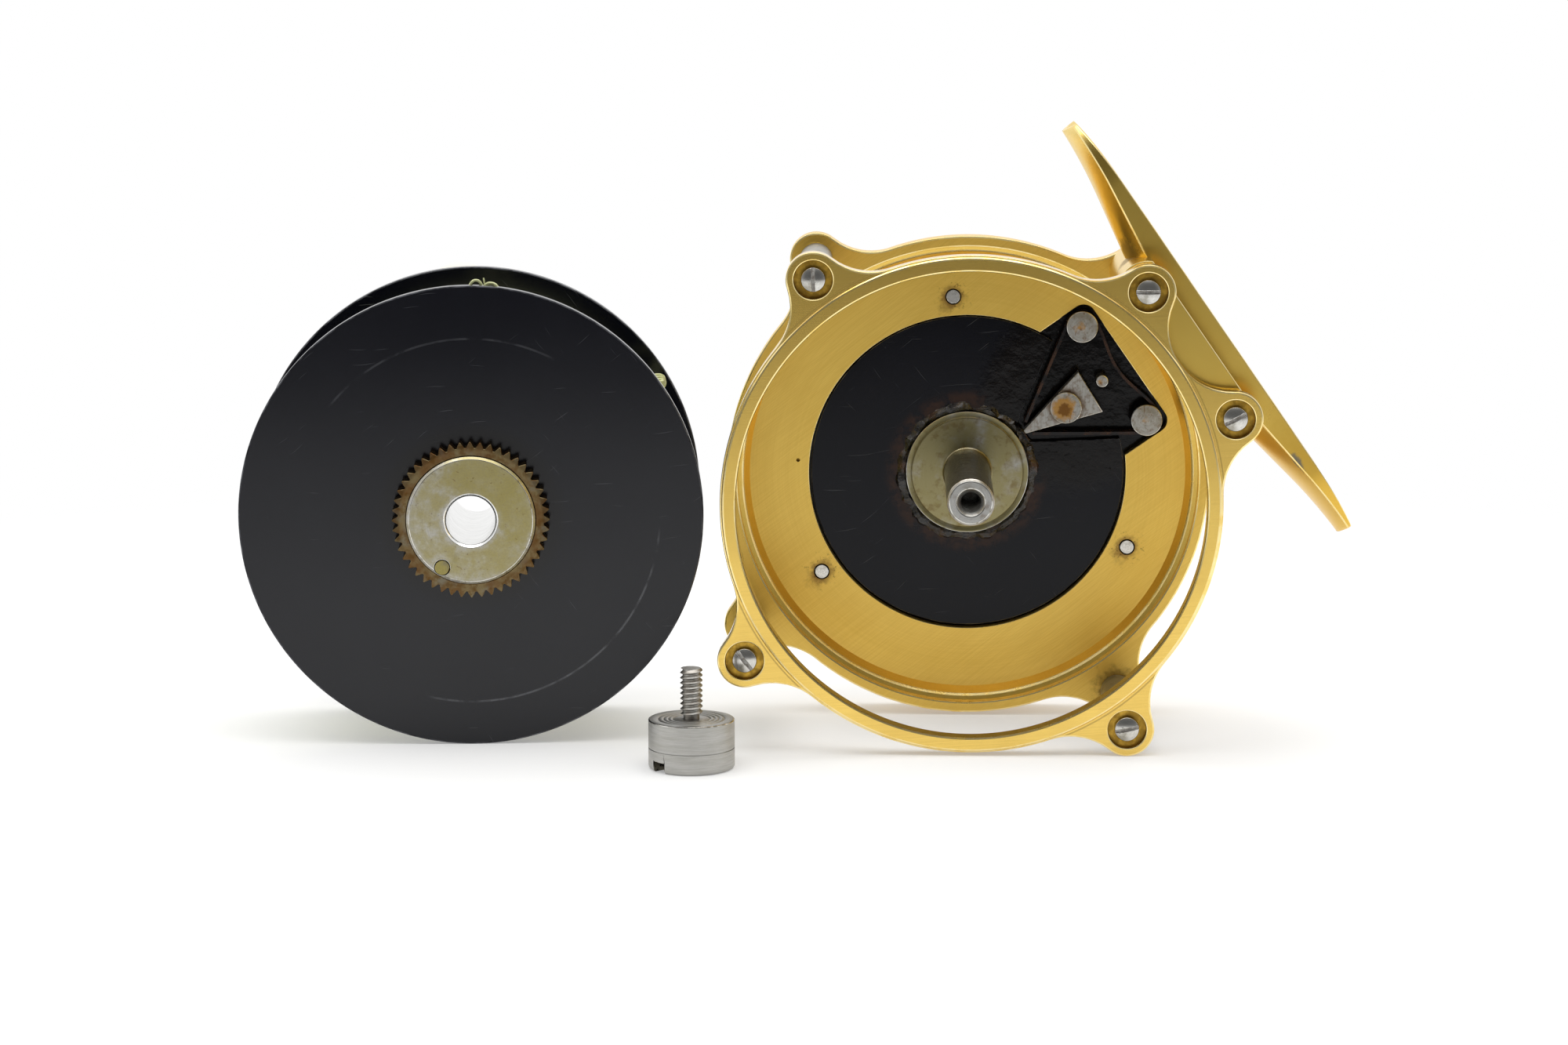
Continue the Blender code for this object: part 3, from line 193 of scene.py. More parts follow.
class CageSizes(bpy.types.PropertyGroup):
    """Sizes of the front ring, the back plate, the foot and what holds them together"""
    edge: length("Rounding of the machined gold edges", 0.00028)
    ring_r: length("Outer radius of the front ring", 0.038006)
    ring_bore: length("Inner radius of the front ring", 0.035606)
    ring_thickness: length("Depth of the front ring", 0.0033)
    ring_step: length("How far the lugs lie behind the ring's face", 0.0004)
    ring_land: length("How far the ring's raised face stops short of its edge", 0.00022)
    lug_circle: length("Radius of the circle that the lug screws lie on", 0.041806)
    lug_r: length("Outer radius of a lug", 0.00415)
    lug_fillet: length("Radius of the fillet beside a lug", 0.0096)
    bore_r: length("Radius of a lug's counterbore", 0.0029)
    bore_depth: length("Depth of a lug's counterbore", 0.0013)
    shank_r: length("Radius of the frame screws' shanks", 0.0011)
    gap: length("Space between the ring and the plate", 0.0265)
    plate_lug: length("Thickness of the back plate's lugs", 0.0030)
    cup_r: length("Outer radius of the back plate's cup", 0.037406)
    mouth_r: length("Inner radius of the back plate at its mouth", 0.036306)
    ledge_r: length("Inner radius of the ledge in the cup", 0.035456)
    ledge_depth: length("Depth of the ledge in the cup", 0.0020)
    ledge_lip: length("How far the ledge leans", 0.0003)
    floor_r: length("Radius of the cup's floor", 0.034506)
    floor_depth: length("Depth of the cup's floor", 0.0042)
    floor_thickness: length("Thickness of the cup's floor", 0.0025)
    cover_thickness: length("Thickness of the cover behind the floor", 0.0024)
    port_r: length("Radius of the keyhole opening", 0.0251)
    bay_reach: length("How far the keyhole's bay reaches towards the foot", 0.0310)
    bay_half: length("Half the width of the keyhole's bay", 0.0119)
    bay_corner: length("Rounding of the bay's outer corners", 0.0019)
    pillar_r: length("Radius of the spacers between the lugs", 0.0026)
    foot_angle: angle("Direction of the foot above the horizontal", 34.9)
    lug_spread: angle("Angle from the foot to the lugs beside it", 16.2)
    foot_reach: length("Distance of the foot's seat from the spindle", 0.046156)
    foot_length: length("Length of the foot", 0.0752)
    foot_width: length("Width of the foot at its middle", 0.0150)
    foot_tip_width: length("Width of the foot at its ends", 0.0059)
    foot_thickness: length("Thickness of the foot at its base", 0.0033)
    foot_tip: length("Thickness of the foot at its ends", 0.0006)
    foot_crown: length("Crown under the foot at its base", 0.0030)
    foot_tip_crown: length("Crown under the foot at its ends", 0.0018)
    foot_hollow: length("Hollow in the outer face at the foot's ends", 0.0015)
    foot_tip_drop: length("How far the foot's ends curl down", 0.0008)
    foot_rounding: length("Length of the foot's rounded ends", 0.0110)

    @property
    def plate_face(self):
        return self.ring_thickness + self.gap

    @property
    def plate_lug_rear(self):
        return self.plate_face + self.plate_lug

    @property
    def floor_face(self):
        return self.plate_face + self.floor_depth

    @property
    def floor_rear(self):
        return self.floor_face + self.floor_thickness

    @property
    def cover_face(self):
        return self.floor_rear + CLEARANCE

    @property
    def cover_rear(self):
        return self.cover_face + self.cover_thickness

    @property
    def lug_angles(self):
        """Angles of the five lugs in degrees: both lugs of the foot, then the plain ones."""
        foot = math.degrees(self.foot_angle)
        spread = math.degrees(self.lug_spread)
        return [foot - spread, foot + spread, foot + 90.0, foot + 180.0, foot + 270.0]


class ClickSizes(bpy.types.PropertyGroup):
    """Sizes of the spindle, the black cover and the click inside it"""
    edge: length("Rounding of the turned steel edges", 0.00010)
    spindle_r: length("Radius of the spindle", 0.00365)
    spindle_tip: length("Depth of the spindle's tip behind the ring's face", 0.0040)
    spindle_bore: length("Radius of the threaded hole in the spindle", 0.00178)
    spindle_bore_length: length("Depth of the threaded hole", 0.0120)
    spindle_chamfer: length("Chamfer at the spindle's tip", 0.0004)
    spindle_collar: length("Fillet at the spindle's root", 0.00045)
    flange_r: length("Radius of the spindle's flange", 0.00970)
    flange_drop: length("Depth of the flange behind the gold floor", 0.0002)
    flange_thickness: length("Thickness of the spindle's flange", 0.0020)
    boss_r: length("Radius of the cover's round boss", 0.0248)
    boss_drop: length("Depth of the boss behind the gold floor", 0.0012)
    pocket_tip: length("Distance of the pocket's narrow end from the spindle", 0.0108)
    pocket_half: length("Half the width of the pocket's narrow end", 0.0018)
    pocket_flare: amount("How fast the pocket widens", 0.63)
    cover_r: length("Outer radius of the black cover", 0.034206)
    cover_screw_circle: length("Radius of the circle of cover screws", 0.0281)
    cover_screw_r: length("Radius of a cover screw", 0.00108)
    pivot_reach: length("Distance of the pawl's pivot from the spindle", 0.0188)
    nose: length("Length of the pawl's nose", 0.0076)
    nose_half: length("Half the width of the pawl's nose", 0.0003)
    tail: length("Length of the pawl's tail", 0.0046)
    tail_half: length("Half the width of the pawl's tail", 0.00375)
    pawl_thickness: length("Thickness of the pawl", 0.0024)
    pawl_drop: length("How far the pawl reaches behind the gold floor", 0.0006)
    pawl_turn: angle("How far the pawl leans at rest", -3.0)
    stud_r: length("Radius of the click's studs", 0.0013)
    stud_shoulder: length("Radius of the pawl stud's shoulder", 0.0020)
    stud_head: length("Radius of the pawl stud's head", 0.00247)
    head_height: length("Height of the heads of studs and posts", 0.0008)
    stop_reach: length("Distance of the stop pin from the spindle", 0.0258)
    stop_r: length("Radius of the stop pin", 0.00095)
    stop_rise: length("How far the stop pin stands above the gold floor", 0.0010)
    post_reach: length("Distance of the spring posts along the foot's direction", 0.0281)
    post_spread: length("Distance of the spring posts from the middle", 0.0090)
    post_r: length("Radius of the spring posts", 0.0017)
    post_head: length("Radius of the spring posts' heads", 0.00246)
    post_rise: length("How far the posts stand above the gold floor", 0.0020)
    spring_thickness: length("Thickness of the spring's strip", 0.00045)
    spring_width: length("Width of the spring's strip", 0.0030)
    spring_bow: length("How far the spring bows inwards between its posts", 0.0015)
    spring_setback: length("Where the spring touches the pawl behind its nose", 0.0009)


class SpoolSizes(bpy.types.PropertyGroup):
    """Sizes of the spool, its hub, gear and handle, and of the spool screw"""
    edge: length("Rounding of the spool's rims", 0.00022)
    spool_r: length("Outer radius of the spool", 0.035506)
    width: length("Width over both flanges", 0.0286)
    flange: length("Thickness of a spool flange", 0.0018)
    arbor: length("Radius of the spool's arbor", 0.0130)
    hub_r: length("Radius of the hub's face", 0.00983)
    hub_bore: length("Radius of the bore that runs on the spindle", 0.00375)
    hub_sleeve: length("Radius of the hub's sleeve", 0.0055)
    hub_stand: length("How far the hub stands before the flange", 0.0036)
    hub_chamfer: length("Chamfer of the hub's rims", 0.0004)
    pin_r: length("Radius of the hub's pin", 0.00113)
    pin_circle: length("Distance of the pin from the axis", 0.00845)
    pin_angle: angle("Place of the pin round the hub", 238.4)
    pin_length: length("Length of the hub's pin", 0.0020)
    teeth: bpy.props.IntProperty(name="Gear teeth", description="Teeth of the ratchet gear", default=48)
    gear_root: length("Radius of the gear at its roots", 0.0111)
    gear_tip: length("Radius of the gear at its tips", 0.0120)
    gear_stand: length("How far the gear stands before the flange", 0.0030)
    line_r: length("Radius of the wound line", 0.030006)
    strand_r: length("Radius of the line itself", 0.00045)
    handle_circle: length("Distance of the handle from the axis", 0.028446)
    handle_angle: angle("Place of the handle round the spool", 95.5)
    post_r: length("Radius of the handle's post", 0.0020)
    collar_r: length("Radius of the handle's collar", 0.0032)
    collar: length("Height of the handle's collar", 0.0008)
    post_head_r: length("Radius of the handle post's head", 0.0030)
    post_head: length("Height of the handle post's head", 0.0010)
    knob_length: length("Length of the handle's knob", 0.0170)
    knob_base: length("Radius of the knob at the spool", 0.0046)
    knob_waist: length("Radius of the knob's waist", 0.0040)
    knob_waist_reach: length("Where the waist lies along the knob", 0.0043)
    knob_end: length("Radius of the knob's end", 0.0060)
    knob_end_length: length("Length of the knob's straight end", 0.0032)
    knob_rounding: length("Rounding of the knob's end", 0.0011)
    head_r: length("Radius of the spool screw's head", 0.0065)
    head_height: length("Height of the spool screw's head", 0.0075)
    head_edge: length("Rounding of the head's lower edge", 0.0006)
    groove_height: length("Height of the groove round the head", 0.0032)
    groove_depth: length("Depth of the groove round the head", 0.00014)
    slot_width: length("Width of the head's slot", 0.00235)
    slot_depth: length("Depth of the head's slot", 0.0016)
    slot_turn: angle("Direction of the head's slot", 41.0)
    thread_r: length("Outer radius of the thread", 0.00168)
    thread_root: length("Radius of the thread at its root", 0.00128)
    thread_pitch: length("Distance from crest to crest", 0.00079)
    thread_length: length("Length of the threaded shank", 0.0077)


class ReelColours(bpy.types.PropertyGroup):
    """Colours of the finishes, of the wear on them, and of painted highlights and shade"""
    gold: paint("Gold-anodised aluminium", 244, 208, 104)
    # Partly rubbed wear and partly a painted highlight: the gold edges are painted lighter than the face.
    gold_edge: paint("Gold where edges are rubbed bright", 252, 230, 164)
    gold_shade: paint("Darker lines and patches in the gold", 214, 173, 72)
    dirt: paint("Brown dirt in corners and counterbores", 96, 66, 26)
    black: paint("Black-anodised aluminium", 3, 4, 14)
    # Partly rubbed wear and partly a painted highlight: the black rims are painted grey where they catch the
    # light above.
    black_edge: paint("Black where rims are rubbed grey", 92, 93, 98)
    scuff: paint("Pale marks on the black", 128, 130, 134)
    grease: paint("Old grease", 12, 9, 9)
    grease_brown: paint("Old grease where it is thin and brown", 62, 38, 22)
    steel: paint("Turned steel", 204, 203, 199)
    steel_dark: paint("Stained steel", 128, 123, 108)
    oil: paint("Yellow film of old oil on steel", 168, 156, 96)
    rust: paint("Rust on the click's steel", 108, 70, 34)
    rust_light: paint("Thin orange rust", 180, 132, 54)
    tan: paint("Rusty film on the gear", 134, 118, 84)
    bright: paint("Polished steel", 244, 244, 242)
    aluminium: paint("Bare satin aluminium", 216, 214, 208)
    knob: paint("Pale handle knob", 226, 222, 210)
    line: paint("Braided backing line", 216, 219, 168)
    line_shade: paint("Line in the hollows between strands", 150, 152, 92)


class StageSettings(bpy.types.PropertyGroup):
    """Camera, floor and light"""
    camera_x: length("Place of the camera across the bench", -0.001482)
    camera_y: length("Place of the camera before the bench", -0.650583)
    camera_z: length("Height of the camera above the bench", 0.14226)
    tilt: angle("How far the camera looks down", 9.57)
    lens: amount("Focal length in millimetres", 97.2)
    floor: paint("Pale paper on the bench", 247, 247, 246)
    floor_front: length("How far the paper reaches towards the viewer", 0.385)
    floor_reach: length("How far the paper reaches to the sides and back", 1.6)
    glow: amount("Share of the paper's white that needs no light", 0.3)
    fade_start: length("Distance from the reel where the paper starts to go white", 0.13)
    fade_end: length("Distance from the reel where the paper is plain white", 0.24)
    dim_wall: amount("Brightness of the room behind the viewer", 0.12)
    box_power: amount("Power of the softbox overhead in watts", 4.3)
    box_size: length("Side of the softbox overhead", 0.8)
    box_height: length("Height of the softbox", 0.75)


def yaw_of(axis):
    """Turn round Z that carries the Y axis onto a horizontal axis."""
    return math.atan2(-axis[0], axis[1])


def joint_place(name):
    """Axes at a joint: Y along the joint's axis, Z up."""
    joint = JOINTS[name]
    return Matrix.Translation(joint["pos_m"]) @ Matrix.Rotation(yaw_of(joint["axis"]), 4, "Z")


def upright_place(name, turn):
    """Axes at an upright joint: Y along the joint, turned round it."""
    return (Matrix.Translation(JOINTS[name]["pos_m"]) @ Matrix.Rotation(turn, 4, "Z")
            @ Matrix.Rotation(math.pi / 2.0, 4, "X"))


def polar(radius, degrees, depth):
    """A point at an angle round the Y axis, anticlockwise from +X as seen from the front."""
    turn = math.radians(degrees)
    return Vector((radius * math.cos(turn), depth, radius * math.sin(turn)))


def foot_point(cage, along, across, depth):
    """A point along and across the foot's direction from the spindle axis."""
    return Matrix.Rotation(-cage.foot_angle, 3, "Y") @ Vector((along, depth, across))


def frame_place(cage, click):
    """Axes of the frame: the origin is the middle of the ring's face."""
    pawl_front = cage.floor_face + click.pawl_drop - click.pawl_thickness
    pivot = foot_point(cage, click.pivot_reach, 0.0, pawl_front)
    return joint_place("pawl_click") @ Matrix.Translation(-pivot)


def frame_parts(context):
    """Sizes of the cage and of the click, and the axes of the frame."""
    cage = context.scene.reel_cage
    click = context.scene.reel_click
    return cage, click, frame_place(cage, click)


def spool_parts(context, joint="spool_spin"):
    """Sizes of the spool, and the axes at one of its joints."""
    return context.scene.reel_spool, joint_place(joint)


def span(start, end, steps):
    """Evenly spaced values from start to end, both included."""
    return [start + (end - start) * i / steps for i in range(steps + 1)]


def turned(profile, steps=TURN_STEPS, ring=False, bm=None, centre=(0.0, 0.0, 0.0)):
    """A shape turned round the Y axis from (radius, depth) points; a ring's profile closes."""
    bm = bm or bmesh.new()
    origin = Vector(centre)
    verts = [bm.verts.new(origin + Vector((radius, depth, 0.0))) for radius, depth in profile]
    ends = verts[1:] + verts[:1] if ring else verts[1:]
    edges = [bm.edges.new(pair) for pair in zip(verts, ends)]
    bmesh.ops.spin(bm, geom=verts + edges, cent=origin, axis=(0.0, 1.0, 0.0), angle=2.0 * math.pi,
                   steps=steps, use_merge=True)
    bmesh.ops.remove_doubles(bm, verts=bm.verts, dist=MERGE)
    bmesh.ops.recalc_face_normals(bm, faces=bm.faces)
    return bm


def rod(radius, start, end, steps=SMALL_STEPS, bm=None, centre=(0.0, 0.0, 0.0)):
    profile = [(0.0, start), (radius, start), (radius, end), (0.0, end)]
    return turned(profile, steps, bm=bm, centre=centre)


def new_items(pushed, kind):
    """The new vertices or edges among what an extrusion gives back."""
    return [item for item in pushed["geom"] if isinstance(item, kind)]


def lofted(loops, closed=True):
    """Walls pulled from loop to loop of equally many points; closed joins the last to the first."""
    bm = bmesh.new()
    verts = [bm.verts.new(point) for point in loops[0]]
    edges = [bm.edges.new(pair) for pair in zip(verts, verts[1:] + verts[:1])]
    first = edges
    for loop in loops[1:] + ([loops[0]] if closed else []):
        before = {vert: number for number, vert in enumerate(verts)}
        pushed = bmesh.ops.extrude_edge_only(bm, edges=edges)
        fresh = set(new_items(pushed, bmesh.types.BMVert))
        edges = [edge for edge in new_items(pushed, bmesh.types.BMEdge) if fresh.issuperset(edge.verts)]
        for vert in fresh:
            ends = [edge.other_vert(vert) for edge in vert.link_edges]
            number = next(before[end] for end in ends if end in before)
            vert.co = loop[number]
            verts[number] = vert
    if not closed:
        for row in (first, edges):
            bmesh.ops.edgeloop_fill(bm, edges=row)
    bmesh.ops.remove_doubles(bm, verts=bm.verts, dist=MERGE)
    bmesh.ops.recalc_face_normals(bm, faces=bm.faces)
    return bm


def prism(outline, thickness):
    """A flat outline pushed back along +Y."""
    bm = bmesh.new()
    verts = [bm.verts.new(point) for point in outline]
    face = bmesh.ops.contextual_create(bm, geom=verts)["faces"]
    moved = new_items(bmesh.ops.extrude_face_region(bm, geom=face), bmesh.types.BMVert)
    bmesh.ops.translate(bm, verts=moved, vec=(0.0, thickness, 0.0))
    bmesh.ops.recalc_face_normals(bm, faces=bm.faces)
    return bm


def slot_cutter(head_r, depth, width, turn=0.0):
    """A bar across the Y axis that cuts a screw slot down to a depth."""
    bm = bmesh.new()
    bmesh.ops.create_cube(bm, size=1.0)
    bmesh.ops.scale(bm, verts=bm.verts, vec=(SLOT_REACH * head_r, 2.0 * depth, width))
    bmesh.ops.rotate(bm, verts=bm.verts, matrix=Matrix.Rotation(-turn, 3, "Y"))
    return bm


def combined(shape, tool, operation="DIFFERENCE"):
    """Cut a tool out of a shape, or join the two; cut walls take the bore finish."""
    if operation == "DIFFERENCE":
        for face in tool.faces:
            face.material_index = BORE
    objects = []
    for bm in (shape, tool):
        mesh = bpy.data.meshes.new("cutting")
        for _ in range(BORE + 1):
            mesh.materials.append(None)
        bm.to_mesh(mesh)
        bm.free()
        obj = bpy.data.objects.new("cutting", mesh)
        bpy.context.scene.collection.objects.link(obj)
        objects.append(obj)
    boolean = objects[0].modifiers.new("cut", "BOOLEAN")
    boolean.operation = operation
    boolean.solver = "EXACT"
    boolean.material_mode = "INDEX"
    boolean.object = objects[1]
    depsgraph = bpy.context.evaluated_depsgraph_get()
    result = bmesh.new()
    result.from_mesh(objects[0].evaluated_get(depsgraph).data)
    for obj in objects:
        mesh = obj.data
        bpy.data.objects.remove(obj, do_unlink=True)
        bpy.data.meshes.remove(mesh)
    bmesh.ops.remove_doubles(result, verts=result.verts, dist=MERGE)
    return result


def round_edges(bm, width, segments=2, chosen=None):
    """Round the sharp outward edges; the rounding takes the edge finish."""
    bm.normal_update()
    sharp = [edge for edge in bm.edges
             if len(edge.link_faces) == 2 and edge.is_convex and edge.calc_face_angle() > SHARP_ANGLE
             and (chosen is None or chosen(edge))]
    done = bmesh.ops.bevel(bm, geom=sharp, offset=width, offset_type="OFFSET", segments=segments,
                           profile=0.5, affect="EDGES", clamp_overlap=False, material=-1)
    for face in done["faces"]:
        if face.material_index == FACE:
            face.material_index = EDGE
    return bm


def hole_mouth(radius, face, edge, inward=1.0):
    """Rounded mouth of a drilled hole as profile points, from just outside a face to the hole's wall."""
    points = [(0.0, -0.3), (1.3, -0.3), (0.3, 0.3), (0.0, 1.0)]
    mouth = [(radius + out * edge, face + inward * depth * edge) for out, depth in points[1:]]
    return [(0.0, face + inward * points[0][1] * edge)] + mouth


def rub_and_highlight_mouths(bm, face, edge):
    """Give the rounded mouths of the holes in a face the edge finish, which is rubbed and also painted
    lighter as a highlight.
    """
    for wall in bm.faces:
        if wall.material_index == BORE and abs(wall.calc_center_median().y - face) < edge:
            wall.material_index = EDGE
    return bm


def absorb(bm, other):
    """Add another shape to this one as a body of its own."""
    mesh = bpy.data.meshes.new("joining")
    other.to_mesh(mesh)
    other.free()
    bm.from_mesh(mesh)
    bpy.data.meshes.remove(mesh)


def add_piece(node, bm, place, body, finishes, extra=False):
    """Put a finished shape in its place as an object on a body; it replaces its node unless it is extra."""
    bmesh.ops.recalc_face_normals(bm, faces=bm.faces)
    bm.transform(place)
    for face in bm.faces:
        face.smooth = True
    for edge in bm.edges:
        finish_ends = len({face.material_index for face in edge.link_faces}) > 1
        edge.smooth = edge.calc_face_angle(0.0) < SHARP_ANGLE and not finish_ends
    name = node if extra else f"{node}_finished"
    nodes = [] if extra else [node]
    mesh = bpy.data.meshes.new(name)
    bm.to_mesh(mesh)
    bm.free()
    for finish in finishes:
        mesh.materials.append(finish)
    obj = bpy.data.objects.new(name, mesh)
    bpy.context.scene.collection.objects.link(obj)
    normals = obj.modifiers.new("even_shading", "WEIGHTED_NORMAL")
    normals.keep_sharp = True
    if body:
        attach(obj, body)
    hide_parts(*nodes)
    return obj


class Graph:
    """A node tree with short calls that add a node and give back its output."""

    def __init__(self, tree):
        self.tree = tree

    def feed(self, socket, value):
        if isinstance(value, bpy.types.NodeSocket):
            self.tree.links.new(value, socket)
        elif socket.type == "RGBA":
            socket.default_value = (*tuple(value)[:3], 1.0)
        else:
            socket.default_value = value

    def add(self, kind, inputs, output=0, **settings):
        node = self.tree.nodes.new(kind)
        for name, value in settings.items():
            setattr(node, name, value)
        for key, value in inputs.items():
            self.feed(node.inputs[key], value)
        return node.outputs[output]

    def math(self, operation, *values):
        return self.add("ShaderNodeMath", dict(enumerate(values)), operation=operation)

    def vector(self, operation, *values, output=0):
        return self.add("ShaderNodeVectorMath", dict(enumerate(values)), output, operation=operation)

    def split(self, vector):
        node = self.tree.nodes.new("ShaderNodeSeparateXYZ")
        self.feed(node.inputs[0], vector)
        return tuple(node.outputs)

    def join(self, x, y, z):
        return self.add("ShaderNodeCombineXYZ", {0: x, 1: y, 2: z})

    def noise(self, vector, scale=1.0, detail=2.0, roughness=0.5, w=None):
        inputs = {"Vector": vector, "Scale": scale, "Detail": detail, "Roughness": roughness}
        if w is not None:
            inputs["W"] = w
        return self.add("ShaderNodeTexNoise", inputs, noise_dimensions="3D" if w is None else "4D")

    def rise(self, value, low, high):
        """0 below low, 1 above high, smooth between."""
        return self.add("ShaderNodeMapRange", {"Value": value, "From Min": low, "From Max": high},
                        interpolation_type="SMOOTHSTEP")

    def mix(self, factor, first, second):
        """Mix two colours."""
        return self.add("ShaderNodeMix", {0: factor, 6: first, 7: second}, output=2, data_type="RGBA")

    def blend(self, factor, first, second):
        """Mix two numbers."""
        return self.add("ShaderNodeMix", {0: factor, 2: first, 3: second}, data_type="FLOAT")


def group(name, *inputs):
    """A new node group with a Vector, some numbers or vectors, and a Mask that comes out."""
    tree = bpy.data.node_groups.new(name, "ShaderNodeTree")
    tree.interface.new_socket("Vector", in_out="INPUT", socket_type="NodeSocketVector")
    for socket in inputs:
        kind = "NodeSocketVector" if socket in ("Centre", "Towards") else "NodeSocketFloat"
        tree.interface.new_socket(socket, in_out="INPUT", socket_type=kind)
    tree.interface.new_socket("Mask", in_out="OUTPUT", socket_type="NodeSocketFloat")
    entry = tree.nodes.new("NodeGroupInput")
    return Graph(tree), [entry.outputs[socket] for socket in ("Vector", *inputs)]


def close_group(graph, mask):
    leaving = graph.tree.nodes.new("NodeGroupOutput")
    graph.feed(leaving.inputs["Mask"], mask)


def distance_from_axis(graph, vector):
    x, _, z = graph.split(vector)
    return graph.vector("LENGTH", graph.join(x, 0.0, z), output=1)


def make_turned_lines():
    """Fine rings left by a lathe round the Y axis, and along it on a cylinder."""
    graph, (vector, spacing, breaks) = group("turned_lines", "Spacing", "Breaks")
    x, y, z = graph.split(vector)
    radius = distance_from_axis(graph, vector)
    ring = graph.math("DIVIDE", radius, spacing)
    along = graph.join(graph.math("MULTIPLY", graph.math("DIVIDE", x, radius), breaks),
                       graph.math("DIVIDE", y, spacing),
                       graph.math("MULTIPLY", graph.math("DIVIDE", z, radius), breaks))
    close_group(graph, graph.noise(along, detail=3.0, roughness=0.65, w=ring))


def make_brushed_lines():
    """Fine straight brush lines along X."""
    graph, (vector, run, spacing) = group("brushed_lines", "Run", "Spacing")
    x, y, z = graph.split(vector)
    stretched = graph.join(graph.math("DIVIDE", x, run), graph.math("DIVIDE", y, spacing),
                           graph.math("DIVIDE", z, spacing))
    close_group(graph, graph.noise(stretched, detail=3.0, roughness=0.65))


def make_patches():
    """Soft uneven patches; Amount is the share of the surface that they cover."""
    graph, (vector, size, share, softness) = group("patches", "Size", "Amount", "Softness")
    scale = graph.math("DIVIDE", 1.0, size)
    cloud = graph.noise(vector, scale=scale, detail=4.0, roughness=0.6)
    middle = graph.math("SUBTRACT", CLOUD_HIGH, graph.math("MULTIPLY", share, CLOUD_HIGH - CLOUD_LOW))
    close_group(graph, graph.rise(cloud, graph.math("SUBTRACT", middle, softness),
                                  graph.math("ADD", middle, softness)))


def make_flecks():
    """Small scattered flecks, only where a coarser cloud lets them be."""
    graph, (vector, spacing, share) = group("flecks", "Spacing", "Amount")
    scale = graph.math("DIVIDE", 1.0, spacing)
    cells = graph.add("ShaderNodeTexVoronoi", {"Vector": vector, "Scale": scale, "Randomness": 1.0})
    ragged = graph.math("ADD", cells, graph.math("MULTIPLY", graph.noise(
        vector, scale=graph.math("MULTIPLY", scale, 3.0)), 0.25))
    near = graph.rise(ragged, graph.math("ADD", share, 0.16), share)
    cloud = graph.rise(graph.noise(vector, scale=graph.math("MULTIPLY", scale, 0.23)), 0.5, 0.62)
    close_group(graph, graph.math("MULTIPLY", near, cloud))


def make_spot():
    """One ragged spot or stain round a centre."""
    graph, (vector, centre, radius, softness, ragged) = group(
        "spot", "Centre", "Radius", "Softness", "Ragged")
    away = graph.vector("DISTANCE", vector, centre, output=1)
    wander = graph.noise(vector, scale=900.0, detail=3.0, roughness=0.6)
    wander = graph.math("MULTIPLY", graph.math("SUBTRACT", wander, 0.5), ragged)
    away = graph.math("ADD", away, wander)
    close_group(graph, graph.rise(away, graph.math("ADD", radius, softness),
                                  graph.math("SUBTRACT", radius, softness)))


def make_ring_band():
    """A band round the Y axis between two radii."""
    graph, (vector, inner, outer, softness) = group("ring_band", "Inner", "Outer", "Softness")
    radius = distance_from_axis(graph, vector)
    inside = graph.rise(radius, graph.math("SUBTRACT", inner, softness), inner)
    outside = graph.rise(radius, graph.math("ADD", outer, softness), outer)
    close_group(graph, graph.math("MULTIPLY", inside, outside))


def make_arc_mark():
    """A thin arc round the Y axis, such as a rub mark, that fades at its ends."""
    graph, (vector, radius, width, towards, reach) = group(
        "arc_mark", "Radius", "Width", "Towards", "Reach")
    x, _, z = graph.split(vector)
    flat = graph.vector("NORMALIZE", graph.join(x, 0.0, z))
    facing = graph.vector("DOT_PRODUCT", flat, towards, output=1)
    ends = graph.rise(facing, graph.math("SUBTRACT", reach, 0.04), graph.math("ADD", reach, 0.04))
    off = graph.math("ABSOLUTE", graph.math("SUBTRACT", distance_from_axis(graph, vector), radius))
    line = graph.rise(off, width, graph.math("MULTIPLY", width, 0.4))
    broken = graph.rise(graph.noise(vector, scale=260.0, detail=3.0), 0.36, 0.6)
    close_group(graph, graph.math("MULTIPLY", graph.math("MULTIPLY", line, ends), broken))


def make_scratches():
    """Thin broken scratches along X; Amount is how many there are."""
    graph, (vector, run, spacing, share) = group("scratches", "Run", "Spacing", "Amount")
    x, y, z = graph.split(vector)
    bent = graph.math("ADD", z, graph.math("MULTIPLY", graph.noise(vector, scale=60.0), 0.004))
    stretched = graph.join(graph.math("DIVIDE", x, run), graph.math("DIVIDE", y, spacing),
                           graph.math("DIVIDE", bent, spacing))
    lines = graph.noise(stretched, detail=1.0)
    close_group(graph, graph.rise(lines, graph.math("SUBTRACT", 0.78, share),
                                  graph.math("SUBTRACT", 0.82, share)))


def make_groups():
    for make in (make_turned_lines, make_brushed_lines, make_patches, make_flecks, make_spot,
                 make_ring_band, make_arc_mark, make_scratches):
        make()


def tint(colour):
    """A colour of the palette by its name; a colour that is given as such stays as it is."""
    if isinstance(colour, str):
        palette = bpy.context.scene.reel_colours
        colour = getattr(palette, colour)
    return tuple(colour)


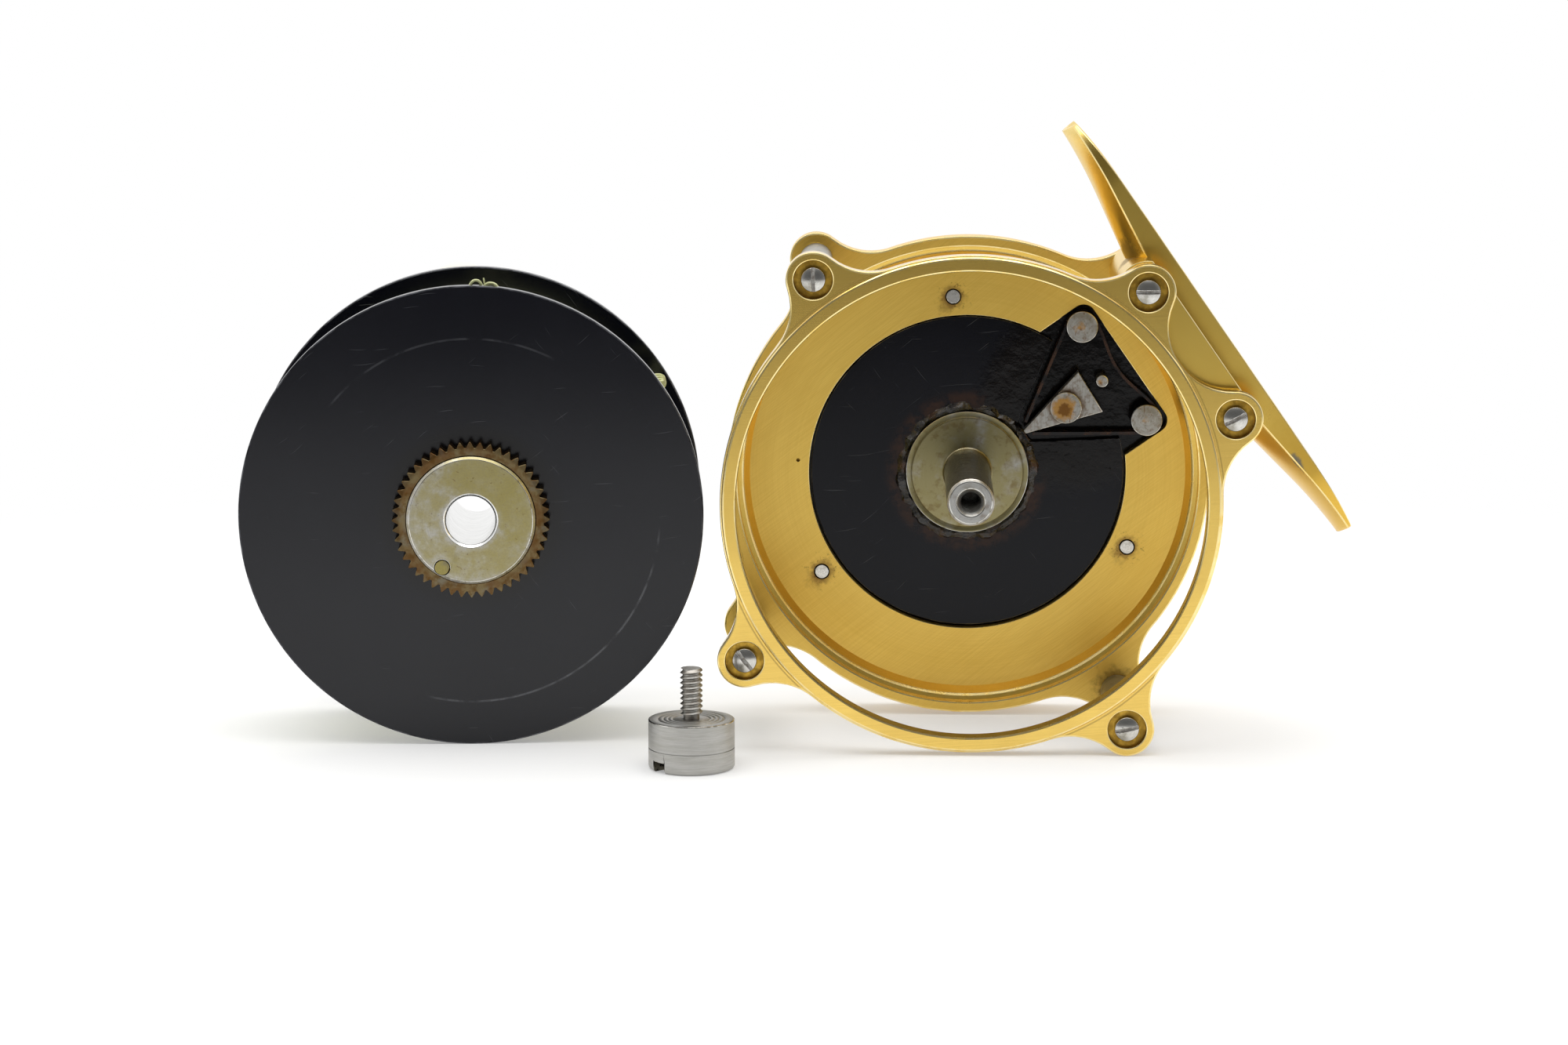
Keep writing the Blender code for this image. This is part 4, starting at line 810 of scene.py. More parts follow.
class Finish:
    """A material in the making: layers of colour, roughness and height over a Principled shader."""

    def __init__(self, name, place, colour, roughness, metallic=1.0, coat=0.0, specular=0.5):
        self.material = bpy.data.materials.new(name)
        self.material.use_nodes = True
        self.graph = Graph(self.material.node_tree)
        self.shader = self.material.node_tree.nodes["Principled BSDF"]
        self.shader.inputs["Metallic"].default_value = metallic
        self.shader.inputs["Coat Weight"].default_value = coat
        self.shader.inputs["Coat Roughness"].default_value = COAT_ROUGHNESS
        self.shader.inputs["Specular IOR Level"].default_value = specular
        self.colour = tint(colour)
        self.roughness = roughness
        self.heights = []
        coordinates = self.material.node_tree.nodes.new("ShaderNodeTexCoord").outputs["Object"]
        self.point = self.mapped(coordinates, place.to_translation(), place.to_euler())

    def mapped(self, vector, location, rotation):
        inputs = {"Vector": vector, "Location": location, "Rotation": rotation}
        return self.graph.add("ShaderNodeMapping", inputs, vector_type="TEXTURE")

    def turn(self, degrees=0.0, shift=(0.0, 0.0, 0.0)):
        """Local coordinates turned round Y for the run of lines, or shifted for another draw."""
        return self.mapped(self.point, shift, (0.0, math.radians(-degrees), 0.0))

    def mask(self, effect, vector=None, **values):
        """The mask of a shared effect, placed with this finish's own values."""
        node = self.material.node_tree.nodes.new("ShaderNodeGroup")
        node.node_tree = bpy.data.node_groups[effect]
        self.graph.feed(node.inputs["Vector"], vector or self.point)
        for socket, value in values.items():
            self.graph.feed(node.inputs[socket], value)
        return node.outputs["Mask"]

    def times(self, mask, factor):
        """A mask weakened by a share, or kept only where another mask is."""
        return self.graph.math("MULTIPLY", mask, factor)

    def layer(self, mask, colour, roughness):
        """Lay a colour and a roughness over the finish where the mask is."""
        self.colour = self.graph.mix(mask, self.colour, tint(colour))
        self.roughness = self.graph.blend(mask, self.roughness, roughness)

    def mark(self, effect, colour, roughness, share=1.0, vector=None, within=None, **values):
        """Lay a shared effect over the finish, as strong as its share and only within a mask."""
        mask = self.mask(effect, vector, **values)
        if within:
            mask = self.times(mask, within)
        if share < 1.0:
            mask = self.times(mask, share)
        self.layer(mask, colour, roughness)

    def lines(self, effect, colour, roughness, share, height, vector=None, **values):
        """Tint fine lines and let them catch the light."""
        mask = self.mask(effect, vector, **values)
        self.layer(self.times(self.graph.rise(mask, *LINE_CONTRAST), share), colour, roughness)
        self.raise_by(mask, height)

    def raise_by(self, mask, height):
        """Raise the surface where the mask is."""
        self.heights.append((mask, height))

    def done(self):
        """The finished material."""
        graph = self.graph
        graph.feed(self.shader.inputs["Base Color"], self.colour)
        graph.feed(self.shader.inputs["Roughness"], self.roughness)
        normal = None
        for mask, height in self.heights:
            inputs = {"Strength": 1.0, "Distance": height, "Height": mask}
            if normal:
                inputs["Normal"] = normal
            normal = graph.add("ShaderNodeBump", inputs)
        if normal:
            graph.feed(self.shader.inputs["Normal"], normal)
        return self.material


def shaded(colour, share):
    """A colour made darker."""
    return [share * channel for channel in tint(colour)]


def patchy(name, place, under, over, size, covered, soft=0.1, share=1.0, metallic=1.0):
    """A plain finish with patches over it; under and over are pairs of colour and roughness."""
    finish = Finish(name, place, *under, metallic=metallic)
    finish.mark("patches", *over, share=share, Size=size, Amount=covered, Softness=soft)
    return finish.done()


def gold_finishes(name, place, brush=0.0, roughness=0.24, coat=0.8, turned_share=0.0, brushed_share=0.36):
    """Gold face, dirty bore and an edge that is rubbed and also painted lighter as a highlight; brush is the
    angle of the brush lines in degrees.
    """
    face = Finish(name, place, "gold", roughness, coat=coat)
    face.mark("patches", "gold_shade", 0.3, share=0.25, Size=0.016, Amount=0.5, Softness=0.14)
    lined = roughness + 0.06
    if brushed_share:
        face.lines("brushed_lines", "gold_shade", lined, brushed_share, height=0.000003,
                   vector=face.turn(brush), Run=0.012, Spacing=0.00014)
    if turned_share:
        face.lines("turned_lines", "gold_shade", lined, turned_share, height=0.000002,
                   Spacing=0.00022, Breaks=1.2)
    face.mark("flecks", "gold_edge", 0.4, share=0.7, Spacing=0.0034, Amount=0.02)
    face.mark("flecks", "dirt", 0.6, share=0.7, vector=face.turn(40.0), Spacing=0.0052, Amount=0.025)
    # Painted highlight and wear: the rounded edges take the lighter gold.
    edge = patchy(f"{name}_edge", place, ("gold_edge", 0.24), ("gold", 0.3), 0.0035, 0.4, share=0.7)
    bore = patchy(f"{name}_bore", place, ("gold_shade", 0.36), ("dirt", 0.5), 0.0016, 0.6,
                  soft=0.14, share=0.55)
    return face, [edge, bore]


def steel_finish(name, place, colour, roughness, spacing=0.00012, breaks=1.5, stain=0.3):
    """Turned steel with stains of old oil."""
    finish = Finish(name, place, colour, roughness)
    dull = roughness + 0.1
    finish.lines("turned_lines", shaded(colour, 0.6), dull, 0.4, height=0.000004, Spacing=spacing,
                 Breaks=breaks)
    if stain:
        finish.mark("patches", "steel_dark", dull, share=0.7, Size=0.0028, Amount=stain, Softness=0.1)
    return finish


class LugOutline:
    """Outline shared by the ring and the back plate: a circle with filleted lugs."""

    def __init__(self, cage):
        self.cage = cage
        self.fillet_reach = cage.ring_r + cage.lug_fillet
        lug_to_fillet = cage.lug_r + cage.lug_fillet
        cosine = self.fillet_reach**2 + cage.lug_circle**2 - lug_to_fillet**2
        self.fillet_turn = math.acos(cosine / (2.0 * self.fillet_reach * cage.lug_circle))
        fillet = Vector((math.cos(self.fillet_turn), math.sin(self.fillet_turn))) * self.fillet_reach
        lug = Vector((cage.lug_circle, 0.0))
        joint = lug + (fillet - lug) * (cage.lug_r / lug_to_fillet)
        self.joint_turn = math.atan2(joint.y, joint.x)
        self.lug_sweep = math.atan2(joint.y, joint.x - cage.lug_circle)

    def radius(self, degrees):
        cage = self.cage
        offset = min(abs((degrees - lug + 180.0) % 360.0 - 180.0) for lug in cage.lug_angles)
        offset = math.radians(offset)
        if offset >= self.fillet_turn:
            return cage.ring_r
        if offset >= self.joint_turn:
            lean = self.fillet_turn - offset
            inside = cage.lug_fillet**2 - (self.fillet_reach * math.sin(lean))**2
            return self.fillet_reach * math.cos(lean) - math.sqrt(max(inside, 0.0))
        inside = cage.lug_r**2 - (cage.lug_circle * math.sin(offset))**2
        return cage.lug_circle * math.cos(offset) + math.sqrt(max(inside, 0.0))

    def lug_offsets(self):
        """Angles across one lug in degrees, spaced evenly along its arcs."""
        half = []
        for sweep in span(0.0, self.lug_sweep, LUG_STEPS):
            x = self.cage.lug_circle + self.cage.lug_r * math.cos(sweep)
            half.append(math.atan2(self.cage.lug_r * math.sin(sweep), x))
        half += span(self.joint_turn, self.fillet_turn, LUG_STEPS)[1:]
        half = [math.degrees(turn) for turn in half]
        return [-turn for turn in reversed(half[1:])] + half

    def angles(self):
        """Every angle that the outline needs, lug by lug with plain arcs between."""
        lugs = sorted(self.cage.lug_angles)
        offsets = self.lug_offsets()
        found = []
        for lug, following in zip(lugs, lugs[1:] + [lugs[0] + 360.0]):
            found += [lug + turn for turn in offsets]
            start = lug + offsets[-1]
            end = following + offsets[0]
            steps = max(1, round((end - start) * RING_STEPS / 360.0))
            found += span(start, end, steps)[1:-1]
        return sorted({round(degrees, 5) for degrees in found})

    def loop(self, angles, depth):
        return [polar(self.radius(degrees), degrees, depth) for degrees in angles]


def circle_loop(radius, angles, depth):
    return [polar(radius, degrees, depth) for degrees in angles]


def lug_holes(cage, profile):
    """Cutter for the screw hole of every lug, turned from one profile."""
    tool = bmesh.new()
    for degrees in cage.lug_angles:
        turned(profile, SMALL_STEPS, bm=tool, centre=polar(cage.lug_circle, degrees, 0.0))
    return tool


def build_front_ring(context):
    cage, _, place = frame_parts(context)
    outline = LugOutline(cage)
    angles = outline.angles()
    shape = lofted([
        circle_loop(cage.ring_bore, angles, cage.ring_thickness),
        circle_loop(cage.ring_bore, angles, 0.0),
        circle_loop(cage.ring_r - STEP_RUN * cage.ring_land, angles, 0.0),
        circle_loop(cage.ring_r - cage.ring_land, angles, cage.ring_step),
        outline.loop(angles, cage.ring_step),
        outline.loop(angles, cage.ring_thickness),
    ])
    shape = round_edges(shape, cage.edge)
    seat = cage.ring_step + cage.bore_depth
    hole = cage.shank_r + CLEARANCE
    past = cage.ring_thickness + CLEARANCE
    tool = lug_holes(cage, hole_mouth(cage.bore_r, cage.ring_step, cage.edge)
                     + [(cage.bore_r, seat), (hole, seat), (hole, past), (0.0, past)])
    shape = rub_and_highlight_mouths(combined(shape, tool), cage.ring_step, cage.edge)
    face, others = gold_finishes("gold_ring", place, brush=4.0)
    face.mark("ring_band", "dirt", 0.5, share=0.35, Inner=cage.ring_r + 0.00003,
              Outer=cage.ring_r + 0.00022, Softness=0.00004)
    face.mark("ring_band", "dirt", 0.5, share=0.35, Inner=cage.ring_bore + 0.00012,
              Outer=cage.ring_bore + 0.00026, Softness=0.00005)
    add_piece("front_ring", shape, place, "frame", [face.done(), *others])


def port_radius(cage, degrees):
    """Keyhole opening in the back plate: a circle with a round-cornered bay towards the foot."""
    offset = abs(math.radians(degrees) - cage.foot_angle)
    offset = abs((offset + math.pi) % (2.0 * math.pi) - math.pi)
    if math.cos(offset) <= 0.0:
        return cage.port_r
    reach = cage.bay_reach / math.cos(offset)
    side = cage.bay_half / max(math.sin(offset), 1e-9)
    bay = min(reach, side)
    corner = Vector((cage.bay_reach - cage.bay_corner, cage.bay_half - cage.bay_corner))
    lean = offset - math.atan2(corner.y, corner.x)
    inside = cage.bay_corner**2 - (corner.length * math.sin(lean))**2
    past_corner = bay * math.cos(offset) > corner.x and bay * math.sin(offset) > corner.y
    if past_corner and inside > 0.0:
        bay = corner.length * math.cos(lean) + math.sqrt(inside)
    return max(cage.port_r, bay)


def port_angles(cage):
    """Angles at the corners of the bay and round its rounded ones, in degrees."""
    foot = math.degrees(cage.foot_angle)
    inner = math.degrees(math.asin(cage.bay_half / cage.port_r))
    side = math.degrees(math.atan2(cage.bay_half, cage.bay_reach - cage.bay_corner))
    front = math.degrees(math.atan2(cage.bay_half - cage.bay_corner, cage.bay_reach))
    half = [inner] + span(side, front, LUG_STEPS)
    return [foot + turn for turn in half] + [foot - turn for turn in half]


def cover_screw_places(cage, click, depth):
    foot = math.degrees(cage.foot_angle)
    return [polar(click.cover_screw_circle, foot + turn, depth) for turn in (60.0, 180.0, 300.0)]


def inside_cup(edge, cage):
    """Whether an edge of the back plate lies within its floor."""
    return all(math.hypot(vert.co.x, vert.co.z) < cage.floor_r - CUP_MARGIN for vert in edge.verts)


def build_back_plate(context):
    cage, click, place = frame_parts(context)
    outline = LugOutline(cage)
    corners = [turn % 360.0 for turn in port_angles(cage)]
    plain = [turn % 360.0 for turn in outline.angles()]
    angles = sorted(corners + [turn for turn in plain
                               if min(abs(turn - corner) for corner in corners) > CORNER_GAP])

    def port(depth):
        return [polar(port_radius(cage, turn), turn, depth) for turn in angles]

    ledge = cage.plate_face + cage.ledge_depth
    bed = click.cover_r + CLEARANCE
    shape = lofted([
        port(cage.floor_face),
        circle_loop(cage.floor_r, angles, cage.floor_face),
        circle_loop(cage.ledge_r, angles, ledge),
        circle_loop(cage.mouth_r, angles, ledge - cage.ledge_lip),
        circle_loop(cage.mouth_r, angles, cage.plate_face),
        outline.loop(angles, cage.plate_face),
        outline.loop(angles, cage.plate_lug_rear),
        circle_loop(cage.cup_r, angles, cage.plate_lug_rear),
        circle_loop(cage.cup_r, angles, cage.cover_rear),
        circle_loop(bed, angles, cage.cover_rear),
        circle_loop(bed, angles, cage.floor_rear),
        port(cage.floor_rear),
    ])
    shape = round_edges(shape, FINE_EDGE, chosen=lambda edge: inside_cup(edge, cage))
    shape = round_edges(shape, cage.edge, chosen=lambda edge: not inside_cup(edge, cage))
    hole = cage.shank_r + CLEARANCE
    seat = cage.plate_lug_rear - cage.bore_depth
    before = cage.plate_face - CLEARANCE
    mouth = hole_mouth(cage.bore_r, cage.plate_lug_rear, cage.edge, inward=-1.0)
    tool = lug_holes(cage, [(0.0, before), (hole, before), (hole, seat), (cage.bore_r, seat),
                            *reversed(mouth)])
    above = cage.floor_face - CLEARANCE
    for centre in cover_screw_places(cage, click, 0.0):
        rod(click.cover_screw_r + TIP_ROOM, above, cage.floor_rear + CLEARANCE, bm=tool, centre=centre)
    rod(PINHOLE_R, above, cage.floor_face + PINHOLE_DEPTH, bm=tool,
        centre=polar(PINHOLE_REACH, PINHOLE_TURN, 0.0))
    shape = rub_and_highlight_mouths(combined(shape, tool), cage.plate_lug_rear, cage.edge)
    face, others = gold_finishes("gold_plate", place, brush=38.0, roughness=0.36, coat=0.3,
                                 turned_share=0.2)
    for centre in cover_screw_places(cage, click, cage.floor_face):
        face.mark("spot", "rust", 0.45, share=0.65, Centre=centre, Radius=0.00165,
                  Softness=0.0007, Ragged=0.0022)
        face.mark("spot", "rust", 0.35, share=0.45, Centre=centre + SMEAR_SHIFT, Radius=0.0011,
                  Softness=0.0009, Ragged=0.003)
        around = face.mask("spot", Centre=centre, Radius=0.0026, Softness=0.0012, Ragged=0.002)
        face.mark("patches", "dirt", 0.45, share=0.7, within=around, Size=0.00045, Amount=0.22,
                  Softness=0.06)
    bottom_lug = polar(cage.lug_circle, cage.lug_angles[4], cage.plate_face)
    face.mark("spot", "dirt", 0.6, share=0.7, Centre=bottom_lug, Radius=0.0032, Softness=0.0014,
              Ragged=0.004)
    # Painted highlight: a thin band of lighter gold along the edge of the ledge in the cup.
    face.mark("ring_band", "gold_edge", 0.3, share=0.4, Inner=cage.ledge_r - 0.00012,
              Outer=cage.ledge_r + 0.0001, Softness=0.0001)
    add_piece("back_plate", shape, place, "frame", [face.done(), *others])


def boss_outline(cage, click):
    """Round boss of the cover with the pawl pocket cut into it, as (radius, angle) pairs."""
    foot = math.degrees(cage.foot_angle)
    flare = click.pocket_flare
    offset = click.pocket_half - flare * click.pocket_tip
    a = 1.0 + flare**2
    b = 2.0 * flare * offset
    c = offset**2 - click.boss_r**2
    mouth = (-b + math.sqrt(b * b - 4.0 * a * c)) / (2.0 * a)
    mouth_half = offset + flare * mouth
    corners = [(mouth, -mouth_half), (click.pocket_tip, -click.pocket_half),
               (click.pocket_tip, click.pocket_half), (mouth, mouth_half)]
    outline = []
    for start, end in zip(corners, corners[1:]):
        for share in span(0.0, 1.0, WALL_STEPS)[:-1]:
            along = start[0] + (end[0] - start[0]) * share
            across = start[1] + (end[1] - start[1]) * share
            outline.append((math.hypot(along, across), foot + math.degrees(math.atan2(across, along))))
    half = math.degrees(math.atan2(mouth_half, mouth))
    steps = round(RING_STEPS * (360.0 - 2.0 * half) / 360.0)
    outline += [(click.boss_r, foot + turn) for turn in span(half, 360.0 - half, steps)[:-1]]
    return outline


def black_finishes(name, place, shine):
    """Black-anodised face with faint lathe rings and scuffs, its grey rim, rubbed and also painted grey as a
    highlight, and its drilled walls.
    """
    face = Finish(name, place, "black", 0.17, metallic=0.0, specular=shine)
    face.raise_by(face.mask("turned_lines", Spacing=0.00025, Breaks=1.0), 0.000002)
    face.mark("patches", "scuff", 0.32, share=0.008, Size=0.02, Amount=0.45, Softness=0.16)
    for degrees, many in ((38.0, 0.025), (-52.0, 0.018), (4.0, 0.04)):
        face.mark("scratches", "scuff", 0.4, share=0.16, vector=face.turn(degrees), Run=0.009,
                  Spacing=0.00028, Amount=many)
    face.mark("flecks", "scuff", 0.5, share=0.4, Spacing=0.0052, Amount=0.02)
    # Painted highlight and wear: the rims take a grey that stands in for the light they catch.
    rim = patchy(f"{name}_rim", place, ("black_edge", 0.32), ("black", 0.36), 0.003, 0.5,
                 soft=0.14, metallic=0.5)
    bore = patchy(f"{name}_bore", place, ("black", 0.4), ("grease", 0.3), 0.002, 0.5,
                  share=0.5, metallic=0.0)
    return face, [rim, bore]


def grease_finish(place):
    """Old brown-black grease, wet and lumpy."""
    finish = Finish("collar_grease", place, "grease", 0.14, metallic=0.0, coat=0.5)
    finish.mark("patches", "grease_brown", 0.24, Size=0.0022, Amount=0.3, Softness=0.1)
    finish.raise_by(finish.mask("patches", Size=0.0012, Amount=0.5, Softness=0.35), 0.00025)
    return finish.done()


def build_back_cover(context):
    cage, click, place = frame_parts(context)
    outline = boss_outline(cage, click)
    angles = [degrees for _, degrees in outline]

    def boss(depth):
        return [polar(radius, degrees, depth) for radius, degrees in outline]

    boss_face = cage.floor_face + click.boss_drop
    seat_r = click.flange_r + CLEARANCE
    seat = cage.floor_face + click.flange_drop + click.flange_thickness + CLEARANCE
    tail_hole = TAIL_R + CLEARANCE
    shape = lofted([
        circle_loop(tail_hole, angles, cage.cover_rear),
        circle_loop(click.cover_r, angles, cage.cover_rear),
        circle_loop(click.cover_r, angles, cage.cover_face),
        boss(cage.cover_face),
        boss(boss_face),
        circle_loop(seat_r, angles, boss_face),
        circle_loop(seat_r, angles, seat),
        circle_loop(tail_hole, angles, seat),
    ])
    start = cage.cover_face - CLEARANCE
    end = cage.cover_rear + CLEARANCE
    sink = cage.cover_rear - COVER_HEAD - CLEARANCE
    sink_r = COVER_HEAD_R + CLEARANCE
    tool = bmesh.new()
    for centre in cover_screw_places(cage, click, 0.0):
        turned([(0.0, start), (COVER_HOLE_R, start), (COVER_HOLE_R, sink), (sink_r, sink), (sink_r, end),
                (0.0, end)], SMALL_STEPS, bm=tool, centre=centre)
    shape = round_edges(combined(shape, tool), PLATE_EDGE)
    face, others = black_finishes("black_cover", place, shine=0.2)
    by_flange = face.mask("ring_band", Inner=click.flange_r, Outer=click.flange_r + 0.002, Softness=0.002)
    front = face.mask("spot", Centre=(0.0, cage.cover_face - 0.012, 0.0), Radius=0.0168,
                      Softness=0.0008, Ragged=0.0)
    face.mark("patches", "grease_brown", 0.16, share=0.6, within=face.times(by_flange, front),
              Size=0.0022, Amount=0.6, Softness=0.14)
    pocket = face.mask("spot", Centre=foot_point(cage, 0.0205, 0.0, cage.cover_face), Radius=0.0142,
                       Softness=0.002, Ragged=0.003)
    face.layer(pocket, "grease", 0.13)
    swell = face.mask("patches", Size=0.0045, Amount=0.5, Softness=0.4)
    face.raise_by(face.times(pocket, swell), 0.00005)
    lumps = face.mask("flecks", Spacing=0.0018, Amount=0.05)
    face.raise_by(face.times(pocket, lumps), 0.00004)
    add_piece("back_cover", shape, place, "frame", [face.done(), *others])
    build_grease(cage, click, place)


def build_grease(cage, click, place):
    """A lumpy collar of old grease where the spindle's flange meets the black boss."""
    top = cage.floor_face + click.boss_drop
    inner = click.flange_r + 0.0001
    bm = turned([(inner, top + 0.0002), (inner, top - 0.0004), (inner + 0.0004, top - 0.0006),
                 (inner + 0.0010, top - 0.0003), (inner + 0.0014, top + 0.0002)], COLLAR_STEPS, ring=True)
    for vert in bm.verts:
        swell = noise.noise(vert.co * 420.0) + 0.5 * noise.noise(vert.co * 1300.0)
        if vert.co.y < top:
            vert.co.y -= 0.0005 * swell
        outward = Vector((vert.co.x, 0.0, vert.co.z))
        if outward.length > inner + 0.0002:
            vert.co += outward.normalized() * 0.0006 * swell
    add_piece("grease_collar", bm, place, "frame", [grease_finish(place)], extra=True)


def slotted_screw(head_r, head_height, shank_r, shank_length, slot_width, slot_depth, turn):
    """Domed screw along +Y from the top of its head, with a slot across it."""
    end = head_height + shank_length
    bulge = (head_r**2 + SCREW_DOME**2) / (2.0 * SCREW_DOME)
    profile = [(radius, bulge - math.sqrt(bulge**2 - radius**2)) for radius in span(0.0, head_r, DOME_STEPS)]
    profile += [(head_r, head_height), (shank_r, head_height), (shank_r, end), (0.0, end)]
    cutter = slot_cutter(head_r, slot_depth, slot_width, math.radians(turn))
    return round_edges(combined(turned(profile, SMALL_STEPS), cutter), SCREW_EDGE)


def screw_finishes(name, place):
    """Bright face, rubbed edge and dull slot of a screw."""
    face = steel_finish(name, place, "aluminium", 0.2, spacing=0.0002, stain=0.25)
    edge = patchy(f"{name}_edge", place, ("aluminium", 0.18), ("steel_dark", 0.3), 0.001, 0.3)
    slot = patchy(f"{name}_slot", place, ("steel", 0.6), ("dirt", 0.5), 0.0006, 0.5,
                  share=0.5, metallic=0.4)
    return [face.done(), edge, slot]


def build_frame_screws(context):
    """Five slotted screws in the ring's lugs and five in the plate's."""
    cage, _, place = frame_parts(context)
    slot_turns = (28.0, 0.0, 92.0, -52.0, 12.0)
    head = 0.0011
    front_top = cage.ring_step + cage.bore_depth - CLEARANCE - head
    rear_top = cage.plate_lug_rear - cage.bore_depth + CLEARANCE + head
    sides = (("ring_screw", front_top, Matrix()), ("plate_screw", rear_top, TURN_ROUND))
    for number, (degrees, turn) in enumerate(zip(cage.lug_angles, slot_turns), start=1):
        for side, top, facing in sides:
            node = f"{side}_{number}"
            spot = place @ Matrix.Translation(polar(cage.lug_circle, degrees, top)) @ facing
            shape = slotted_screw(head_r=0.00185, head_height=head, shank_r=cage.shank_r,
                                  shank_length=0.0050, slot_width=0.0005, slot_depth=0.0006, turn=turn)
            add_piece(node, shape, spot, "frame", screw_finishes(node, spot))


def build_cover_screws(context):
    """Cover screws: their plain tips show in the gold floor, their slotted heads at the rear."""
    cage, click, place = frame_parts(context)
    tip = cage.floor_face - TIP_RISE
    head = cage.cover_rear - COVER_HEAD
    profile = [(0.0, tip), (click.cover_screw_r, tip), (click.cover_screw_r, head), (COVER_HEAD_R, head),
               (COVER_HEAD_R, cage.cover_rear), (0.0, cage.cover_rear)]
    for number, centre in enumerate(cover_screw_places(cage, click, 0.0), start=1):
        node = f"cover_screw_{number}"
        spot = place @ Matrix.Translation(centre)
        cutter = slot_cutter(COVER_HEAD_R, depth=0.00045, width=0.0005,
                             turn=math.radians(25.0 + 50.0 * number))
        bmesh.ops.translate(cutter, verts=cutter.verts, vec=(0.0, cage.cover_rear, 0.0))
        shape = round_edges(combined(turned(profile, SMALL_STEPS), cutter), FINEST_EDGE)
        add_piece(node, shape, spot, "frame", screw_finishes(node, spot))


def build_pillars(context):
    """Round spacers between the plain lugs."""
    cage, _, place = frame_parts(context)
    start = cage.ring_thickness + CLEARANCE
    end = cage.plate_face - CLEARANCE
    profile = [(PILLAR_BORE, start), (cage.pillar_r, start), (cage.pillar_r, end), (PILLAR_BORE, end)]
    for number, degrees in enumerate(cage.lug_angles[2:], start=1):
        node = f"pillar_{number}"
        spot = place @ Matrix.Translation(polar(cage.lug_circle, degrees, 0.0))
        shape = round_edges(turned(profile, SMALL_STEPS, ring=True), ROUND_EDGE)
        # Painted shade: the pillars' aluminium is made darker, as if in the shade between ring and plate.
        steel = steel_finish(node, spot, shaded("aluminium", 0.65), 0.36)
        edge = patchy(f"{node}_edge", spot, ("aluminium", 0.25), ("dirt", 0.4), 0.002, 0.4)
        add_piece(node, shape, spot, "frame", [steel.done(), edge])


def foot_base_end(cage):
    """How far the foot's full thickness reaches along it: to the ends of its two lugs."""
    return cage.lug_circle * math.sin(cage.lug_spread) + cage.lug_r


def foot_section(cage, across):
    """Cross-section of the foot's blade along its length: crowned underneath, hollow at its tips."""
    half_length = cage.foot_length / 2.0
    base = foot_base_end(cage)
    distance = abs(across)
    taper = max(0.0, (distance - base) / (half_length - base))
    thickness = cage.foot_thickness + (cage.foot_tip - cage.foot_thickness) * taper
    crown = cage.foot_crown + (cage.foot_tip_crown - cage.foot_crown) * taper
    rounding = max(0.0, (distance - half_length + cage.foot_rounding) / cage.foot_rounding)
    width = cage.foot_tip_width
    width += (cage.foot_width - cage.foot_tip_width) * math.sqrt(max(0.0, 1.0 - rounding**2))
    top = cage.foot_reach - cage.foot_tip_drop * rounding**2
    middle = cage.ring_thickness + cage.gap / 2.0
    section = []
    for share in span(-1.0, 1.0, CROWN_STEPS):
        over = top - cage.foot_hollow * taper * (1.0 - share**2)
        section.append(foot_point(cage, over, across, middle + share * width / 2.0))
    for share in span(1.0, -1.0, CROWN_STEPS):
        under = top - thickness - crown * (1.0 - share**2)
        section.append(foot_point(cage, under, across, middle + share * width / 2.0))
    return section


def foot_stations(cage):
    """Places along the foot where its cross-section is taken, from one tip to the other."""
    arm = cage.foot_length / 2.0 - cage.foot_rounding
    base = foot_base_end(cage)
    half = span(0.0, base, BASE_STEPS)[1:] + span(base, arm, ARM_STEPS)[1:]
    for turn in span(0.0, math.pi / 2.0, FOOT_STEPS)[1:]:
        half.append(arm + cage.foot_rounding * math.sin(turn))
    return [-reach for reach in reversed(half)] + [0.0] + half


def foot_base_outline(cage, depth):
    """Outline of the foot's base block: a saddle on the cup with round ends under the blade."""
    foot = math.degrees(cage.foot_angle)
    spread = math.degrees(cage.lug_spread)
    end_r = cage.lug_circle - cage.cup_r
    lug_along = cage.lug_circle * math.cos(cage.lug_spread)
    lug_across = cage.lug_circle * math.sin(cage.lug_spread)
    top = cage.foot_reach - cage.foot_thickness + BASE_SUNK
    top_turn = math.degrees(math.acos(min(1.0, (top - lug_along) / end_r)))
    saddle = [polar(cage.cup_r, foot + turn, depth) for turn in span(-spread, spread, SADDLE_STEPS)]
    ends = []
    for turn in span(180.0 + spread, top_turn, FOOT_STEPS)[1:]:
        ends.append((lug_along + end_r * math.cos(math.radians(turn)),
                     lug_across + end_r * math.sin(math.radians(turn))))
    upper = [foot_point(cage, along, across, depth) for along, across in ends]
    lower = [foot_point(cage, along, -across, depth) for along, across in reversed(ends)]
    return saddle + upper + lower


